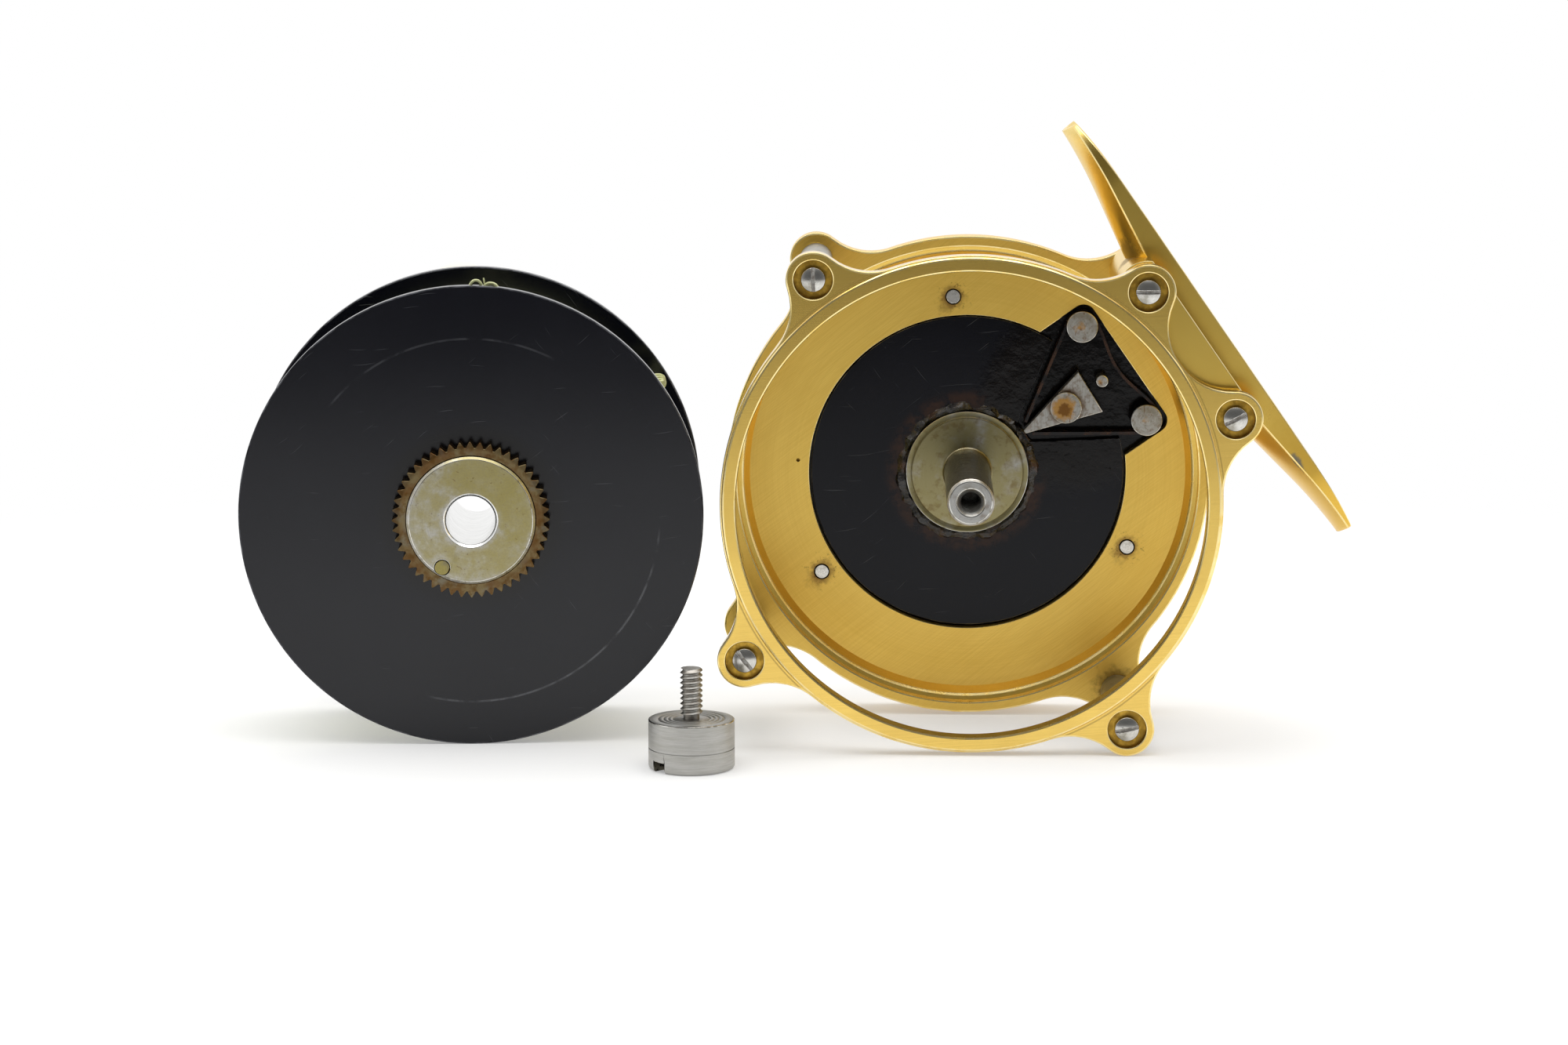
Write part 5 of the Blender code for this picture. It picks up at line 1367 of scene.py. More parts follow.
def build_foot(context):
    cage, _, place = frame_parts(context)
    blade = lofted([foot_section(cage, across) for across in foot_stations(cage)], closed=False)
    base = prism(foot_base_outline(cage, cage.ring_thickness + CLEARANCE), cage.gap - 2.0 * CLEARANCE)
    shape = round_edges(combined(blade, base, "UNION"), SOFT_EDGE)
    face, others = gold_finishes("gold_foot", place, roughness=0.26, coat=0.0, brushed_share=0.0)
    for across, spread in ((0.0165, 0.0024), (0.0138, 0.0014), (-0.0155, 0.0018)):
        stained = foot_point(cage, cage.lug_circle * 0.97, across, 0.0127)
        face.mark("spot", "dirt", 0.5, share=0.6, Centre=stained, Radius=spread, Softness=0.0009,
                  Ragged=0.003)
    # Painted shade: a broad darker patch over the foot's lower arm.
    arm_shade_centre = foot_point(cage, cage.foot_reach, -0.0275, 0.0165)
    face.mark("spot", "gold_shade", 0.3, share=0.85, Centre=arm_shade_centre, Radius=0.0125,
              Softness=0.005, Ragged=0.004)
    worn = (0.0003, 0.0005, 0.0006, 0.0005, 0.0003, 0.0002)
    for across, spread in zip(span(-0.0226, -0.0256, len(worn) - 1), worn):
        rubbed = foot_point(cage, cage.foot_reach - 0.0021, across, 0.0091)
        face.mark("spot", "steel_dark", 0.3, share=0.9, Centre=rubbed, Radius=spread,
                  Softness=0.0003, Ragged=0.0009)
    upper_tip = foot_point(cage, cage.foot_reach, 0.0375, 0.0165)
    face.mark("spot", "gold_edge", 0.36, share=0.6, Centre=upper_tip, Radius=0.006,
              Softness=0.003, Ragged=0.004)
    add_piece("reel_foot", shape, place, "frame", [face.done(), *others])


def spindle_profile(cage, click, pitch):
    """Spindle from the bottom of its threaded hole, over its tip and flange, to its tail."""
    tip = click.spindle_tip
    bore = click.spindle_bore
    chamfer = click.spindle_chamfer
    bottom = tip + click.spindle_bore_length
    profile = [(0.0, bottom), (bore, bottom)]
    for turn in range(int(click.spindle_bore_length / pitch) - 1, 0, -1):
        depth = tip + chamfer + turn * pitch
        profile += [(bore, depth), (bore - BORE_THREAD, depth - pitch / 2.0)]
    profile += [(bore, tip + chamfer), (bore + chamfer, tip), (click.spindle_r - chamfer, tip),
                (click.spindle_r, tip + chamfer)]
    face = cage.floor_face + click.flange_drop
    for share in span(0.0, 1.0, FILLET_STEPS):
        swell = 1.0 - math.sqrt(max(0.0, 1.0 - share**2))
        profile.append((click.spindle_r + click.spindle_collar * swell, face - ROOT_HEIGHT * (1.0 - share)))
    groove = click.flange_r - FLANGE_GROOVE
    profile += [(groove - GROOVE_HALF, face), (groove, face + FLANGE_GROOVE_DEPTH),
                (groove + GROOVE_HALF, face)]
    rear = face + click.flange_thickness
    end = cage.cover_rear - CLEARANCE
    hole = cage.cover_rear - TAIL_HOLE_DEPTH
    return profile + [(click.flange_r, face), (click.flange_r, rear), (TAIL_R, rear), (TAIL_R, end),
                      (TAIL_HOLE_R, end), (TAIL_HOLE_R, hole), (0.0, hole)]


def build_spindle(context):
    """The spindle, and the screw that holds it from behind."""
    cage, click, place = frame_parts(context)
    profile = spindle_profile(cage, click, context.scene.reel_spool.thread_pitch)
    shape = round_edges(turned(profile), click.edge)
    finish = steel_finish("spindle_steel", place, shaded("steel", 0.72), 0.26, spacing=0.00016, stain=0.2)
    flange = finish.mask("ring_band", Inner=click.spindle_r + 0.0004, Outer=click.flange_r, Softness=0.0006)
    finish.mark("patches", shaded("oil", 0.62), 0.3, share=0.85, within=flange, Size=0.0042,
                Amount=0.85, Softness=0.2)
    finish.mark("patches", "dirt", 0.34, share=0.4, vector=finish.turn(shift=(0.3, 0.0, 0.2)),
                Size=0.0014, Amount=0.25, Softness=0.1)
    edge = patchy("spindle_edge", place, ("steel", 0.2), ("steel_dark", 0.3), 0.0015, 0.35)
    add_piece("spindle", shape, place, "frame", [finish.done(), edge])
    head = 0.0013
    spot = place @ Matrix.Translation((0.0, cage.cover_rear + CLEARANCE + head, 0.0)) @ TURN_ROUND
    screw = slotted_screw(head_r=0.0044, head_height=head, shank_r=0.0012, shank_length=0.0040,
                          slot_width=0.0009, slot_depth=0.0007, turn=33.0)
    add_piece("spindle_screw", screw, spot, "frame", screw_finishes("spindle_screw", spot))


def stud_finishes(name, spot, top, rust, seed):
    """Steel head with turned rings, pits and a rusty patch left of its middle, and its bright edge."""
    finish = steel_finish(name, spot, shaded("steel", 0.8), 0.3, spacing=0.0004, breaks=0.8, stain=0.4)
    finish.mark("patches", "steel_dark", 0.45, share=0.6, vector=finish.turn(shift=(seed, 0.0, 0.0)),
                Size=0.0005, Amount=0.3, Softness=0.06)
    finish.mark("patches", "rust", 0.5, share=0.6, vector=finish.turn(shift=(0.0, 0.0, seed)),
                Size=0.0008, Amount=0.25, Softness=0.08)
    finish.lines("turned_lines", "steel_dark", 0.36, 0.4, height=0.000005,
                 vector=finish.turn(shift=(0.0, seed, 0.0)), Spacing=0.0005, Breaks=0.5)
    finish.mark("scratches", "rust", 0.5, share=0.6, vector=finish.turn(84.0, (seed, 0.0, seed)),
                Run=0.003, Spacing=0.0005, Amount=0.1)
    centre = Vector((-0.0004, top, 0.0))
    finish.mark("spot", "rust_light", 0.45, share=0.85, Centre=centre, Radius=rust,
                Softness=0.0005, Ragged=0.0026)
    finish.mark("spot", "rust", 0.5, share=0.8, vector=finish.turn(shift=(0.0002, 0.0, -0.0003)),
                Centre=centre, Radius=0.55 * rust, Softness=0.0003, Ragged=0.0022)
    edge = patchy(f"{name}_edge", spot, ("aluminium", 0.28), ("steel_dark", 0.4), 0.001, 0.4)
    return [finish.done(), edge]


def build_click_studs(context):
    """The pawl's stud, the two spring posts and the stop pin."""
    cage, click, place = frame_parts(context)
    base = cage.cover_face - CLEARANCE
    tail_end = cage.cover_face + STUD_TAIL
    pawl_rear = cage.floor_face + click.pawl_drop
    under_head = pawl_rear - click.pawl_thickness - CLEARANCE
    stud_top = under_head - click.head_height
    shoulder = pawl_rear + CLEARANCE
    post_top = cage.floor_face - click.post_rise
    under_post = post_top + click.head_height
    stop_top = cage.floor_face - click.stop_rise
    tail = [(click.stud_r, base), (click.stud_r, tail_end), (0.0, tail_end)]
    stud = [(0.0, stud_top), (click.stud_head, stud_top), (click.stud_head, under_head),
            (click.stud_r, under_head), (click.stud_r, shoulder), (click.stud_shoulder, shoulder),
            (click.stud_shoulder, base), *tail]
    post = [(0.0, post_top), (click.post_head, post_top), (click.post_head, under_post),
            (click.post_r, under_post), (click.post_r, base), *tail]
    stop = [(0.0, stop_top), (click.stop_r, stop_top), (click.stop_r, tail_end), (0.0, tail_end)]
    pieces = (
        ("pawl_stud", stud, (click.pivot_reach, 0.0), "oiled_steel", 0.0018, 0.13),
        ("spring_post_1", post, (click.post_reach, click.post_spread), "plain_steel", 0.0006, 0.47),
        ("spring_post_2", post, (click.post_reach, -click.post_spread), "plain_steel", 0.0003, 0.71),
        ("stop_pin", stop, (click.stop_reach, 0.0), "plain_steel", 0.0003, 0.29),
    )
    for node, profile, (along, across), slot, rust, seed in pieces:
        spot = place @ Matrix.Translation(foot_point(cage, along, across, 0.0))
        shape = round_edges(turned(profile, SMALL_STEPS), click.edge)
        add_piece(node, shape, spot, "frame", stud_finishes(node, spot, profile[0][1], rust, seed))


def build_pawl(context):
    """Triangular pawl on its stud, with the nose towards the spindle."""
    cage, click, _ = frame_parts(context)
    lean = Matrix.Rotation(-(cage.foot_angle + click.pawl_turn), 4, "Y")
    place = joint_place("pawl_click") @ lean
    corners = ((-click.nose, -click.nose_half), (click.tail, -click.tail_half),
               (click.tail, click.tail_half), (-click.nose, click.nose_half))
    outline = [Vector((along, 0.0, across)) for along, across in corners]
    hole = rod(click.stud_r + CLEARANCE, -CLEARANCE, click.pawl_thickness + CLEARANCE)
    shape = round_edges(combined(prism(outline, click.pawl_thickness), hole), PLATE_EDGE)
    finish = Finish("pawl_steel", place, shaded("steel", 0.75), 0.34)
    finish.lines("brushed_lines", "steel_dark", 0.42, 0.45, height=0.000006, vector=finish.turn(62.0),
                 Run=0.004, Spacing=0.00018)
    finish.mark("patches", "dirt", 0.45, share=0.4, Size=0.0007, Amount=0.4, Softness=0.08)
    finish.mark("spot", "dirt", 0.4, share=0.75, Centre=(0.0, 0.0, 0.0), Radius=0.0029,
                Softness=0.0006, Ragged=0.0014)
    edge = patchy("pawl_edge", place, ("steel", 0.28), ("steel_dark", 0.4), 0.001, 0.45)
    bore = patchy("pawl_bore", place, ("steel_dark", 0.4), ("grease", 0.3), 0.001, 0.6)
    add_piece("pawl", shape, place, "pawl", [finish.done(), edge, bore])


def spring_path(click):
    """Middle line of the click spring along and across the foot: nose, post, post and nose."""
    turn = click.pawl_turn
    contact = click.nose - click.spring_setback
    slope = (click.tail_half - click.nose_half) / (click.nose + click.tail)
    off = click.nose_half + slope * click.spring_setback + CLEARANCE + click.spring_thickness / 2.0
    belt_r = click.post_r + CLEARANCE + click.spring_thickness / 2.0
    post = Vector((click.post_reach, click.post_spread))

    def on_post(sweep):
        return post + belt_r * Vector((math.cos(sweep), math.sin(sweep)))

    def half_path(side):
        leg = Vector((click.pivot_reach - contact * math.cos(turn) - side * off * math.sin(turn),
                      -contact * math.sin(turn) * side + off * math.cos(turn)))
        away = post - leg
        lean = math.atan2(away.y, away.x) + math.asin(belt_r / away.length) + math.pi / 2.0
        points = [leg.lerp(on_post(lean), share) for share in span(0.0, 1.0, LEG_STEPS)[:-1]]
        points += [on_post(sweep) for sweep in span(lean, 0.0, POST_STEPS)]
        for share in span(1.0, 0.0, BOW_STEPS)[1:]:
            bow = click.spring_bow * (1.0 + math.cos(math.pi * share)) / 2.0
            points.append(Vector((post.x + belt_r - bow, post.y * share)))
        return [Vector((point.x, side * point.y)) for point in points]

    return half_path(1.0) + list(reversed(half_path(-1.0)))[1:]


def build_click_spring(context):
    """Flat steel strip round both posts whose legs press on the pawl's nose."""
    cage, click, place = frame_parts(context)
    front = cage.cover_face - CLEARANCE - click.spring_width
    bm = bmesh.new()
    verts = [bm.verts.new(foot_point(cage, point.x, point.y, front)) for point in spring_path(click)]
    line = [bm.edges.new(pair) for pair in zip(verts, verts[1:])]
    moved = new_items(bmesh.ops.extrude_edge_only(bm, edges=line), bmesh.types.BMVert)
    bmesh.ops.translate(bm, verts=moved, vec=(0.0, click.spring_width, 0.0))
    bmesh.ops.recalc_face_normals(bm, faces=bm.faces)
    for vert in bm.verts:
        vert.co -= vert.normal * click.spring_thickness / 2.0
    bmesh.ops.solidify(bm, geom=bm.faces[:], thickness=-click.spring_thickness)
    shape = round_edges(bm, SCREW_EDGE)
    steel = patchy("spring_steel", place, ("grease_brown", 0.3), ("grease", 0.18), 0.002, 0.5,
                   soft=0.14, metallic=0.4)
    edge = patchy("spring_edge", place, ("grease_brown", 0.26), ("grease", 0.2), 0.0016, 0.45,
                  soft=0.14, metallic=0.4)
    obj = add_piece("click_spring", shape, place, None, [steel, edge])
    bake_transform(obj)


def build_spool_body(context):
    spool, place = spool_parts(context)
    bore = spool.hub_sleeve + CLEARANCE
    outer = spool.width - spool.flange
    profile = [(bore, 0.0), (spool.spool_r, 0.0), (spool.spool_r, spool.flange),
               (spool.arbor, spool.flange), (spool.arbor, outer), (spool.spool_r, outer),
               (spool.spool_r, spool.width), (bore, spool.width)]
    hole = rod(spool.post_r + CLEARANCE, outer - CLEARANCE, spool.width + CLEARANCE,
               centre=polar(spool.handle_circle, math.degrees(spool.handle_angle), 0.0))
    shape = round_edges(combined(turned(profile, RING_STEPS, ring=True), hole), spool.edge)
    face, others = black_finishes("black_spool", place, shine=0.42)
    face.mark("ring_band", "grease", 0.2, share=0.7, Inner=0.0, Outer=0.0128, Softness=0.0022)
    for radius, towards, sweep, share in ((0.0288, 306.0, 48.0, 0.35), (0.0274, 100.0, 41.0, 0.12)):
        face.mark("arc_mark", "scuff", 0.5, share=share, Radius=radius, Width=0.00022,
                  Towards=polar(1.0, towards, 0.0), Reach=math.cos(math.radians(sweep)))
    add_piece("spool_body", shape, place, "spool", [face.done(), *others])


def strand(radius, start, turns, pitch, thickness):
    """One helical strand round the Y axis, from a small circle spun along it."""
    bm = bmesh.new()
    made = bmesh.ops.create_circle(bm, segments=STRAND_SIDES, radius=thickness)
    bmesh.ops.translate(bm, verts=made["verts"], vec=(radius, start, 0.0))
    bmesh.ops.spin(bm, geom=bm.verts[:] + bm.edges[:], cent=(0.0, 0.0, 0.0), axis=(0.0, 1.0, 0.0),
                   dvec=(0.0, pitch / STRAND_STEPS, 0.0), angle=2.0 * math.pi * turns,
                   steps=STRAND_STEPS * turns)
    bmesh.ops.holes_fill(bm, edges=[edge for edge in bm.edges if edge.is_boundary], sides=0)
    return bm


def looped_thread(points, thickness):
    """A thin thread through some points, made from a smooth curve."""
    curve = bpy.data.curves.new("thread", "CURVE")
    curve.dimensions = "3D"
    curve.bevel_depth = thickness
    curve.bevel_resolution = 2
    curve.use_fill_caps = True
    curve.resolution_u = 8
    spline = curve.splines.new("BEZIER")
    spline.bezier_points.add(len(points) - 1)
    for knot, point in zip(spline.bezier_points, points):
        knot.co = point
        knot.handle_left_type = "AUTO"
        knot.handle_right_type = "AUTO"
    obj = bpy.data.objects.new("thread", curve)
    bpy.context.scene.collection.objects.link(obj)
    depsgraph = bpy.context.evaluated_depsgraph_get()
    mesh = bpy.data.meshes.new_from_object(obj.evaluated_get(depsgraph))
    bm = bmesh.new()
    bm.from_mesh(mesh)
    bmesh.ops.remove_doubles(bm, verts=bm.verts, dist=MERGE)
    bpy.data.objects.remove(obj, do_unlink=True)
    bpy.data.curves.remove(curve)
    bpy.data.meshes.remove(mesh)
    return bm


def stray_loops(spool):
    """Loose loops of line: the points, as (radius, degrees, depth), and the thickness of every loop."""
    inside = spool.flange + 0.0004
    top = spool.spool_r
    pack = spool.line_r - 0.0004
    loops = []
    for middle, half, rise in ((88.3, 1.7, 0.0006), (84.6, 1.9, 0.0003)):
        leg = [(pack, 2.4 * half, inside + 0.0036), (top - 0.0022, 1.2 * half, inside + 0.0006),
               (top - 0.0004, half, inside)]
        up = [(radius, middle + turn, depth) for radius, turn, depth in leg]
        down = [(radius, middle - turn, depth) for radius, turn, depth in reversed(leg)]
        loops.append((up + [(top + rise, middle, inside)] + down, 0.00022))
    loops.append(([(pack, 84.8, inside + 0.0024), (top - 0.002, 86.0, inside), (top, 86.2, inside),
                   (top + 0.0010, 86.5, inside)], 0.00012))
    for step in range(4):
        reach = top - 0.0003 + 0.00008 * step
        near = inside + 0.0009 * step
        far = inside + 0.0008 * step
        rise = 0.4 * step
        fall = 0.6 * step
        points = [(pack, 39.6 + rise, near + 0.0036), (top - 0.004, 37.0 + rise, near + 0.0030),
                  (reach, 34.5 + rise, far + 0.0036), (reach + 0.0002, 33.9 - fall / 3.0, far + 0.0058),
                  (top - 0.003, 31.0 - fall, far + 0.0130), (pack, 28.4 - fall, far + 0.0158)]
        loops.append((points, 0.0002))
    return loops


def build_line_pack(context):
    """Wound line: a plain core, close turns of strand over it and a few loose loops."""
    spool, place = spool_parts(context)
    start = spool.flange + CLEARANCE
    end = spool.width - spool.flange - CLEARANCE
    thickness = spool.strand_r
    pitch = 2.0 * thickness
    core_r = spool.line_r - CORE_DEPTH * thickness
    inside = spool.arbor + CLEARANCE
    bm = turned([(inside, start), (core_r, start), (core_r, end), (inside, end)], ring=True)
    turns = int((end - start) / pitch) - 1
    for radius, shift in ((core_r, 0.0), (spool.line_r - thickness, 0.5)):
        wound = strand(radius, start + thickness * (1.0 + shift), turns, pitch, STRAND_ROOM * thickness)
        for vert in wound.verts:
            sway = noise.noise(vert.co * 90.0)
            vert.co.y += 0.35 * thickness * sway
            squeeze = 1.0 + 0.012 * (noise.noise(vert.co * 55.0 + Vector((7.0, 3.0, 1.0))) - 0.5)
            vert.co.x *= squeeze
            vert.co.z *= squeeze
        absorb(bm, wound)
    for points, size in stray_loops(spool):
        absorb(bm, looped_thread([polar(*point) for point in points], size))
    finish = Finish("line_braid", place, "line", 0.62, metallic=0.0, specular=0.25)
    finish.mark("patches", "line_shade", 0.7, share=0.3, Size=0.0012, Amount=0.4, Softness=0.12)
    finish.raise_by(finish.mask("patches", Size=0.00025, Amount=0.5, Softness=0.3), 0.00005)
    add_piece("line_pack", bm, place, "spool", [finish.done()])


def build_ratchet_gear(context):
    spool, place = spool_parts(context)
    pitch = 360.0 / spool.teeth
    tooth = ((-0.5, spool.gear_root), (-0.42, spool.gear_root), (-0.06, spool.gear_tip),
             (0.06, spool.gear_tip), (0.42, spool.gear_root))
    outline = [(radius, (number + share) * pitch)
               for number in range(spool.teeth) for share, radius in tooth]

    def teeth(depth):
        return [polar(radius, degrees, depth) for radius, degrees in outline]

    def hole(depth):
        return [polar(spool.hub_r + GEAR_ROOM, degrees, depth) for _, degrees in outline]

    face = -spool.gear_stand
    shape = lofted([hole(-CLEARANCE), hole(face), teeth(face), teeth(-CLEARANCE)])
    shape = round_edges(shape, FINEST_EDGE, segments=1)
    finish = steel_finish("gear_steel", place, "tan", 0.36, stain=0.3)
    finish.mark("patches", "rust", 0.5, share=0.65, Size=0.0036, Amount=0.5, Softness=0.1)
    finish.mark("patches", "dirt", 0.5, share=0.6, vector=finish.turn(70.0), Size=0.0011, Amount=0.35,
                Softness=0.1)
    greasy = {"Centre": polar(spool.gear_tip, 95.0, face), "Radius": 0.0190, "Softness": 0.002,
              "Ragged": 0.006}
    teeth_only = finish.mask("ring_band", Inner=0.0112, Outer=0.02, Softness=0.0005)
    finish.mark("spot", "grease", 0.2, share=0.38, within=teeth_only, **greasy)
    edge = Finish("gear_edge", place, "tan", 0.32)
    edge.mark("patches", "rust", 0.4, Size=0.001, Amount=0.45, Softness=0.1)
    edge.mark("spot", "grease", 0.2, share=0.5, **greasy)
    add_piece("ratchet_gear", shape, place, "spool", [finish.done(), edge.done()])


def hub_finish(place, front):
    """Steel face of the hub with its film of old oil, stains, grain and scratches."""
    finish = steel_finish("hub_steel", place, "steel", 0.3, spacing=0.00018, stain=0.15)
    haze = finish.mask("ring_band", Inner=0.0052, Outer=0.0086, Softness=0.0012)
    finish.mark("patches", "oil", 0.34, share=0.75, within=haze, Size=0.0034, Amount=0.7, Softness=0.2)
    for degrees, reach, share in ((70.0, 0.0062, 0.75), (15.0, 0.0052, 0.6), (310.0, 0.0042, 0.5)):
        finish.mark("spot", "oil", 0.34, share=share, Centre=polar(0.0080, degrees, front),
                    Radius=reach, Softness=0.002, Ragged=0.009)
    finish.mark("patches", "oil", 0.36, share=0.4, vector=finish.turn(55.0), Size=0.0014, Amount=0.5,
                Softness=0.12)
    finish.mark("scratches", "rust", 0.45, share=0.45, vector=finish.turn(-35.0), Run=0.0016,
                Spacing=0.0005, Amount=0.06)
    finish.mark("patches", "steel_dark", 0.36, share=0.3, vector=finish.turn(10.0), Size=0.00028,
                Amount=0.5, Softness=0.3)
    finish.mark("scratches", "steel_dark", 0.45, share=0.5, vector=finish.turn(24.0), Run=0.0022,
                Spacing=0.00016, Amount=0.03)
    finish.mark("patches", "dirt", 0.45, share=0.5, Size=0.0007, Amount=0.1, Softness=0.06)
    return finish.done()


def build_hub(context):
    """Steel hub with its bore for the spindle, and the drive pin in its face."""
    spool, place = spool_parts(context)
    front = -spool.hub_stand
    end = spool.width - CLEARANCE
    lip = spool.hub_chamfer
    profile = [(spool.hub_bore + lip, front), (spool.hub_r - lip, front), (spool.hub_r, front + lip),
               (spool.hub_r, -CLEARANCE), (spool.hub_sleeve, -CLEARANCE), (spool.hub_sleeve, end),
               (spool.hub_bore + lip, end), (spool.hub_bore, end - lip), (spool.hub_bore, front + lip)]
    centre = polar(spool.pin_circle, math.degrees(spool.pin_angle), 0.0)
    pin_end = front + spool.pin_length
    hole = rod(spool.pin_r + PIN_ROOM, front - CLEARANCE, pin_end + CLEARANCE, centre=centre)
    shape = round_edges(combined(turned(profile, RING_STEPS, ring=True), hole), FINEST_EDGE)
    for wall in shape.faces:
        middle = wall.calc_center_median()
        if math.hypot(middle.x, middle.z) < spool.hub_bore + lip:
            wall.material_index = BORE + 1
    edge = patchy("hub_edge", place, ("aluminium", 0.2), ("steel_dark", 0.3), 0.0014, 0.3)
    pin_hole = patchy("hub_pin_hole", place, ("steel_dark", 0.4), ("grease", 0.4), 0.001, 0.8)
    bright = steel_finish("hub_bore_steel", place, "bright", 0.16, spacing=0.0003, stain=0.0)
    add_piece("hub_bush", shape, place, "spool",
              [hub_finish(place, front), edge, pin_hole, bright.done()])
    spot = place @ Matrix.Translation(centre)
    pin = round_edges(rod(spool.pin_r, front, pin_end), SCREW_EDGE)
    dull = steel_finish("hub_pin_brass", spot, "oil", 0.36, stain=0.5)
    rim = patchy("hub_pin_rim", spot, ("oil", 0.3), ("dirt", 0.4), 0.0008, 0.5)
    add_piece("hub_pin", pin, spot, "spool", [dull.done(), rim])


def knob_profile(spool, start, end, sink):
    """Knob from its base over a waist to its rounded end, with a well for the post's head."""
    bore = spool.post_r + CLEARANCE
    well = spool.post_head_r + CLEARANCE
    foot = start + KNOB_FOOT
    waist = start + spool.knob_waist_reach
    barrel = end - spool.knob_end_length
    profile = [(bore, start), (spool.knob_base, start)]
    for share in span(0.0, 1.0, DOME_STEPS):
        dip = math.sin(share * math.pi / 2.0)
        profile.append((spool.knob_base + (spool.knob_waist - spool.knob_base) * dip,
                        foot + (waist - foot) * share))
    for share in span(0.0, 1.0, BOW_STEPS)[1:]:
        swell = (1.0 - math.cos(math.pi * share)) / 2.0
        profile.append((spool.knob_waist + (spool.knob_end - spool.knob_waist) * swell,
                        waist + (barrel - waist) * share))
    for turn in span(0.0, math.pi / 2.0, FILLET_STEPS):
        profile.append((spool.knob_end - spool.knob_rounding * (1.0 - math.cos(turn)),
                        end - spool.knob_rounding * (1.0 - math.sin(turn))))
    return profile + [(well, end), (well, end - sink), (bore, end - sink)]


def build_handle(context):
    """Handle post riveted to the spool's far flange, and the knob that turns on it."""
    spool, place = spool_parts(context, "knob_spin")
    collar = CLEARANCE + spool.collar
    start = collar + CLEARANCE
    end = start + spool.knob_length
    head = end - spool.post_head
    profile = [(0.0, -spool.flange), (spool.post_r, -spool.flange), (spool.post_r, CLEARANCE),
               (spool.collar_r, CLEARANCE), (spool.collar_r, collar), (spool.post_r, collar),
               (spool.post_r, head), (spool.post_head_r, head), (spool.post_head_r, end), (0.0, end)]
    post = round_edges(turned(profile, SMALL_STEPS), FINE_EDGE)
    steel = steel_finish("handle_steel", place, "steel", 0.25)
    rim = patchy("handle_rim", place, ("aluminium", 0.2), ("steel_dark", 0.3), 0.001, 0.3)
    add_piece("handle_post", post, place, "spool", [steel.done(), rim])
    profile = knob_profile(spool, start, end, spool.post_head + CLEARANCE)
    knob = round_edges(turned(profile, ring=True), ROUND_EDGE)
    pale = patchy("knob_plastic", place, ("knob", 0.34), ("aluminium", 0.42), 0.004, 0.4,
                  soft=0.14, share=0.3, metallic=0.0)
    worn = patchy("knob_rim", place, ("knob", 0.4), ("scuff", 0.5), 0.002, 0.35, share=0.5, metallic=0.0)
    add_piece("handle_knob", knob, place, "knob", [pale, worn])


def threaded(bm, spool, start, end):
    """A screw thread along +Y: one tooth of the profile spun along the axis, cut flat and capped."""
    thread = bmesh.new()
    pitch = spool.thread_pitch
    land = THREAD_LAND * pitch
    base = start - pitch
    tooth = [(spool.thread_root, 0.0), (spool.thread_root, land), (spool.thread_r, (pitch - land) / 2.0),
             (spool.thread_r, (pitch + land) / 2.0), (spool.thread_root, pitch)]
    verts = [thread.verts.new((radius, base + rise, 0.0)) for radius, rise in tooth]
    edges = [thread.edges.new(pair) for pair in zip(verts, verts[1:])]
    turns = math.ceil((end - start) / pitch) + 2
    bmesh.ops.spin(thread, geom=verts + edges, cent=(0.0, 0.0, 0.0), axis=(0.0, 1.0, 0.0),
                   dvec=(0.0, pitch / THREAD_STEPS, 0.0), angle=2.0 * math.pi * turns,
                   steps=THREAD_STEPS * turns)
    bmesh.ops.remove_doubles(thread, verts=thread.verts, dist=MERGE)
    for height, outward in ((start, -1.0), (end, 1.0)):
        bmesh.ops.bisect_plane(thread, geom=thread.verts[:] + thread.edges[:] + thread.faces[:],
                               plane_co=(0.0, height, 0.0), plane_no=(0.0, outward, 0.0), clear_outer=True)
    bmesh.ops.holes_fill(thread, edges=[edge for edge in thread.edges if edge.is_boundary], sides=0)
    absorb(bm, thread)


def screw_head_profile(spool):
    """Head of the spool screw from the bench up: rounded edge, groove, and turned rings on its top."""
    top = spool.head_height
    reach = spool.head_r
    low = spool.groove_height - spool.groove_depth / 2.0
    high = spool.groove_height + spool.groove_depth / 2.0
    profile = [(0.0, 0.0)]
    for turn in span(0.0, math.pi / 2.0, FILLET_STEPS):
        profile.append((reach - spool.head_edge * (1.0 - math.sin(turn)),
                        spool.head_edge * (1.0 - math.cos(turn))))
    profile += [(reach, low), (reach - spool.groove_depth, low), (reach - spool.groove_depth, high),
                (reach, high), (reach, top)]
    for ring in HEAD_RINGS:
        profile += [(ring + GROOVE_HALF, top), (ring, top - HEAD_RING_DEPTH), (ring - GROOVE_HALF, top)]
    return profile + [(0.0, top)]


